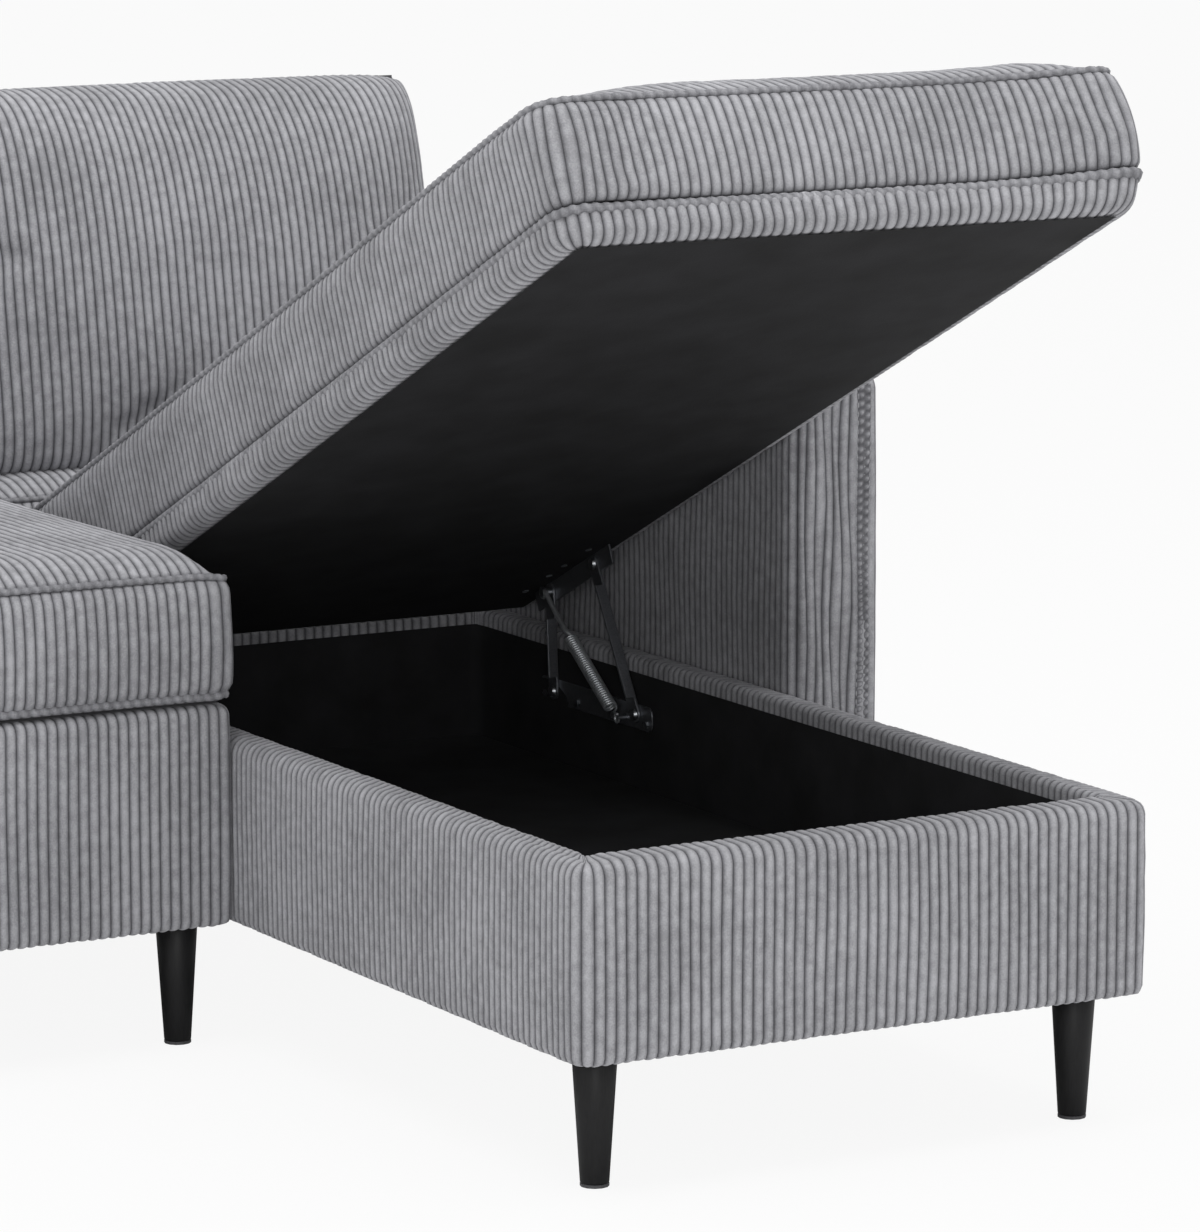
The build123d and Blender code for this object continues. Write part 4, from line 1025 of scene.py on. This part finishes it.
# Webbing of the main seat: elastic bands, woven of black and sand-coloured yarn, stretched over
# the rails and stapled at both ends. Yarns 2.5 mm apart run along the bands.
band, tree, yarn = new_finish("woven_elastic_webbing", {"Roughness": 0.85})
where = put(tree, "ShaderNodeTexCoord").outputs["Object"]
lines = put(tree, "ShaderNodeTexWave", {"Vector": where, "Scale": 1 / 0.0025 / 3.18}, bands_direction="X")
shade = coloured(tree, lines.outputs["Fac"], ("#242322", "#8d8069"))
tree.links.new(shade.outputs["Color"], yarn.inputs["Base Color"])
raised(tree, yarn, lines.outputs["Fac"], 0.4, 0.0005)
finish_nodes(["seat_webbing"], band)

# Lift mechanism: base plates, links and lid brackets of pressed steel with a black burnished
# finish, mottled by the bath in spots about 1.8 mm wide. Its edges, rolled to 1.5 mm, catch light.
burnished = ("#6c6e73", "#909297")
lift_steel, tree, coat, spots = mottled(
    "black_burnished_steel", {"Metallic": 0.85}, 0.0018, 1.0, burnished, gloss=(0.3, 0.5)
)
rolled = put(tree, "ShaderNodeBevel", {"Radius": 0.0015}, samples=6)
skin = raised(tree, coat, spots, 0.15, 0.0003)
tree.links.new(rolled.outputs["Normal"], skin.inputs["Normal"])
for side in ("left", "right"):
    pressed = [f"{part}_{side}" for part in ("lift_base", "rear_link", "front_link", "lid_bracket")]
    finish_nodes(pressed, lift_steel)

# Rivets, screws, leg plates and the straps that join the two units: steel, zinc plated, bright
# with a faint cloudy bloom.
bright = ("#a9adb2", "#d3d6d9")
zinc = mottled("zinc_plated_steel", {"Metallic": 1.0}, 0.006, 3.0, bright, gloss=(0.25, 0.45))[0]
plated = ["lift_base_rivets", "rear_link_rivets", "front_link_rivets", "lift_base_screws"]
plated += ["lid_bracket_screws", "leg_plates", "unit_straps"]
finish_nodes(plated, zinc)

# Glides: moulded pads of grey polyethylene, tapped into the feet so that the legs slide. The floor
# has scuffed them.
scuffed = ("#3a3a3c", "#57575a")
glide_plastic = mottled("grey_polyethylene", {}, 0.003, 2.0, scuffed, gloss=(0.45, 0.65))[0]
finish_nodes(["leg_glides"], glide_plastic)

# Lift springs: close-wound extension springs of drawn steel wire. A hook at each end holds the
# base plate's stud below and the rear link's pin above.
drawn = ("#a3a6aa", "#d0d3d6")
spring_steel = mottled("drawn_spring_steel", {"Metallic": 0.75}, 0.004, 2.0, drawn, gloss=(0.35, 0.5))[0]
wire_radius = 0.0013
bar_radius = 0.0027
coil_turns = 34
low_lead = 0.016
high_lead = 0.072
hook_radius = 0.0045
stud = np.array([0.132713, 0.2414])
pin = np.array(joints["lid_tilt"]["pos_m"][1:])
spring_length = np.linalg.norm(pin - stud)
axis = np.array([0, *(pin - stud) / spring_length])
square = np.array([0, -axis[2], axis[1]])
across = np.array([1.0, 0, 0])


def wire_along(path, first, second, radius):
    """Round wire: a circle carried along a path, given two directions square to it at each point."""
    angle = np.linspace(0, 2 * np.pi, 9)[:, None, None]
    return path + radius * (np.cos(angle) * first + np.sin(angle) * second), 0.0, False


for side in ("left", "right"):
    node = f"lift_spring_{side}"
    low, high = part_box(node)
    middle_x = (low[0] + high[0]) / 2
    coil_radius = (high[0] - low[0]) / 2
    # Coil: a helix about the line from the stud to the pin.
    share = np.linspace(0, 1, coil_turns * 14 + 1)[:, None]
    turn = 2 * np.pi * coil_turns * share
    foot = np.array([middle_x, *stud])
    radial = across * np.cos(turn) + square * np.sin(turn)
    run = low_lead + (spring_length - low_lead - high_lead) * share
    path = foot + axis * run + coil_radius * radial
    along = unit(np.gradient(path, axis=0))
    grids = [wire_along(path, radial, np.cross(along, radial), wire_radius)]
    # Hooks: from the end of the coil in to the middle line, then once round the stud or the pin.
    top = foot + axis * spring_length
    hooks = [(foot, axis, low_lead, wire_radius), (top, -axis, high_lead, bar_radius)]
    for end, way, reach, radius in hooks:
        lead = np.linspace(0, 1, 16)[:, None]
        turned_in = np.clip(lead * reach / 0.010, 0, 1)
        side_step = across * coil_radius * (0.5 + 0.5 * np.cos(np.pi * turned_in))
        leg_in = end + way * (reach + (hook_radius * 0.2 - reach) * lead) + side_step
        leg_in = leg_in + square * hook_radius * lead**3
        sweep = np.radians(np.linspace(80, -200, 24))[:, None]
        loop = end + hook_radius * (way * np.cos(sweep) + square * np.sin(sweep))
        path = np.concatenate([leg_in, loop])
        along = unit(np.gradient(path, axis=0))
        first = unit(np.cross(along, across))
        grids.append(wire_along(path, first, np.cross(along, first), radius))
    spring = surface(f"{side}_lift_spring", grids, spring_steel, None)
    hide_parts(node)
    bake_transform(spring)

# Felled seams of the arms: where the front panel meets the outer one, the turnings are laid over
# and sewn down in two rows, which draw the strip into small puckers. The thread's twist is 1.2 mm.
twist = ("#7d7d81", "#b4b4b8")
thread = mottled("grey_polyester_thread", {"Roughness": 0.6}, 0.0012, 1.0, twist)[0]
strip_near = 0.010
strip_width = 0.017
stitch_pitch = 0.0090
stitch_length = 0.0062
stitch_radius = 0.0008
pucker_rise = 0.0030
strip_rise = 0.0014
for side, way in (("left", -1), ("right", 1)):
    arm_low, arm_high = extent(f"arm_cover_{side}", upright)
    outer = arm_high[0] if way > 0 else arm_low[0]
    across = np.linspace(0, 1, 17)
    tall = np.linspace(arm_low[2] + 0.003, arm_high[2] - 0.022, 300)[:, None]
    # Puckers: two rows of bumps, a quarter in from each edge, the second half a pitch behind.
    uneven = 2 * np.pi * tall / stitch_pitch + 0.9 * np.sin(61 * tall) + 1.6 * (across - 0.5)
    near_row = np.exp(-(((across - 0.27) / 0.17) ** 2)) * (0.5 + 0.5 * np.cos(uneven))
    far_row = np.exp(-(((across - 0.73) / 0.17) ** 2)) * (0.5 - 0.5 * np.cos(uneven))
    bumps = near_row + far_row
    swell = strip_rise * (1 - np.abs(2 * across - 1) ** 6)
    x = outer - way * (strip_near + strip_width * across) + 0.0008 * np.sin(tall * 23)
    y = arm_low[1] + 0.0008 - swell - pucker_rise * bumps
    strip = lattice(x, y, tall)
    # Painted shade: the strip is darker in the troughs between the puckers and lighter on their crests.
    painted_pucker_shade = 0.30 + 0.70 * bumps
    if way > 0:
        strip = strip[:, ::-1]
        painted_pucker_shade = painted_pucker_shade[:, ::-1]
    surface(f"{side}_arm_felled_seam", [(strip, painted_pucker_shade, False)], corduroy, "frame")
    # Stitches: short spindles, half sunk, one in each trough between two puckers.
    heights = np.arange(arm_low[2] + 1.5 * stitch_pitch, arm_high[2] - 0.024, stitch_pitch)
    u, v = np.meshgrid(np.linspace(-1, 1, 7), np.linspace(0, np.pi, 6))
    thin = stitch_radius * np.sqrt(1.001 - u**2)
    spindle = lattice(-thin * np.cos(v), -thin * np.sin(v), stitch_length / 2 * u)
    stitches = []
    for share in (0.06, 0.94):
        line_x = outer - way * (strip_near + strip_width * share)
        for z in heights:
            place = (line_x + 0.0008 * np.sin(z * 23), arm_low[1] - 0.0004, z)
            stitches.append((spindle + place, 0.0, False))
    surface(f"{side}_arm_stitches", stitches, thread, "frame")
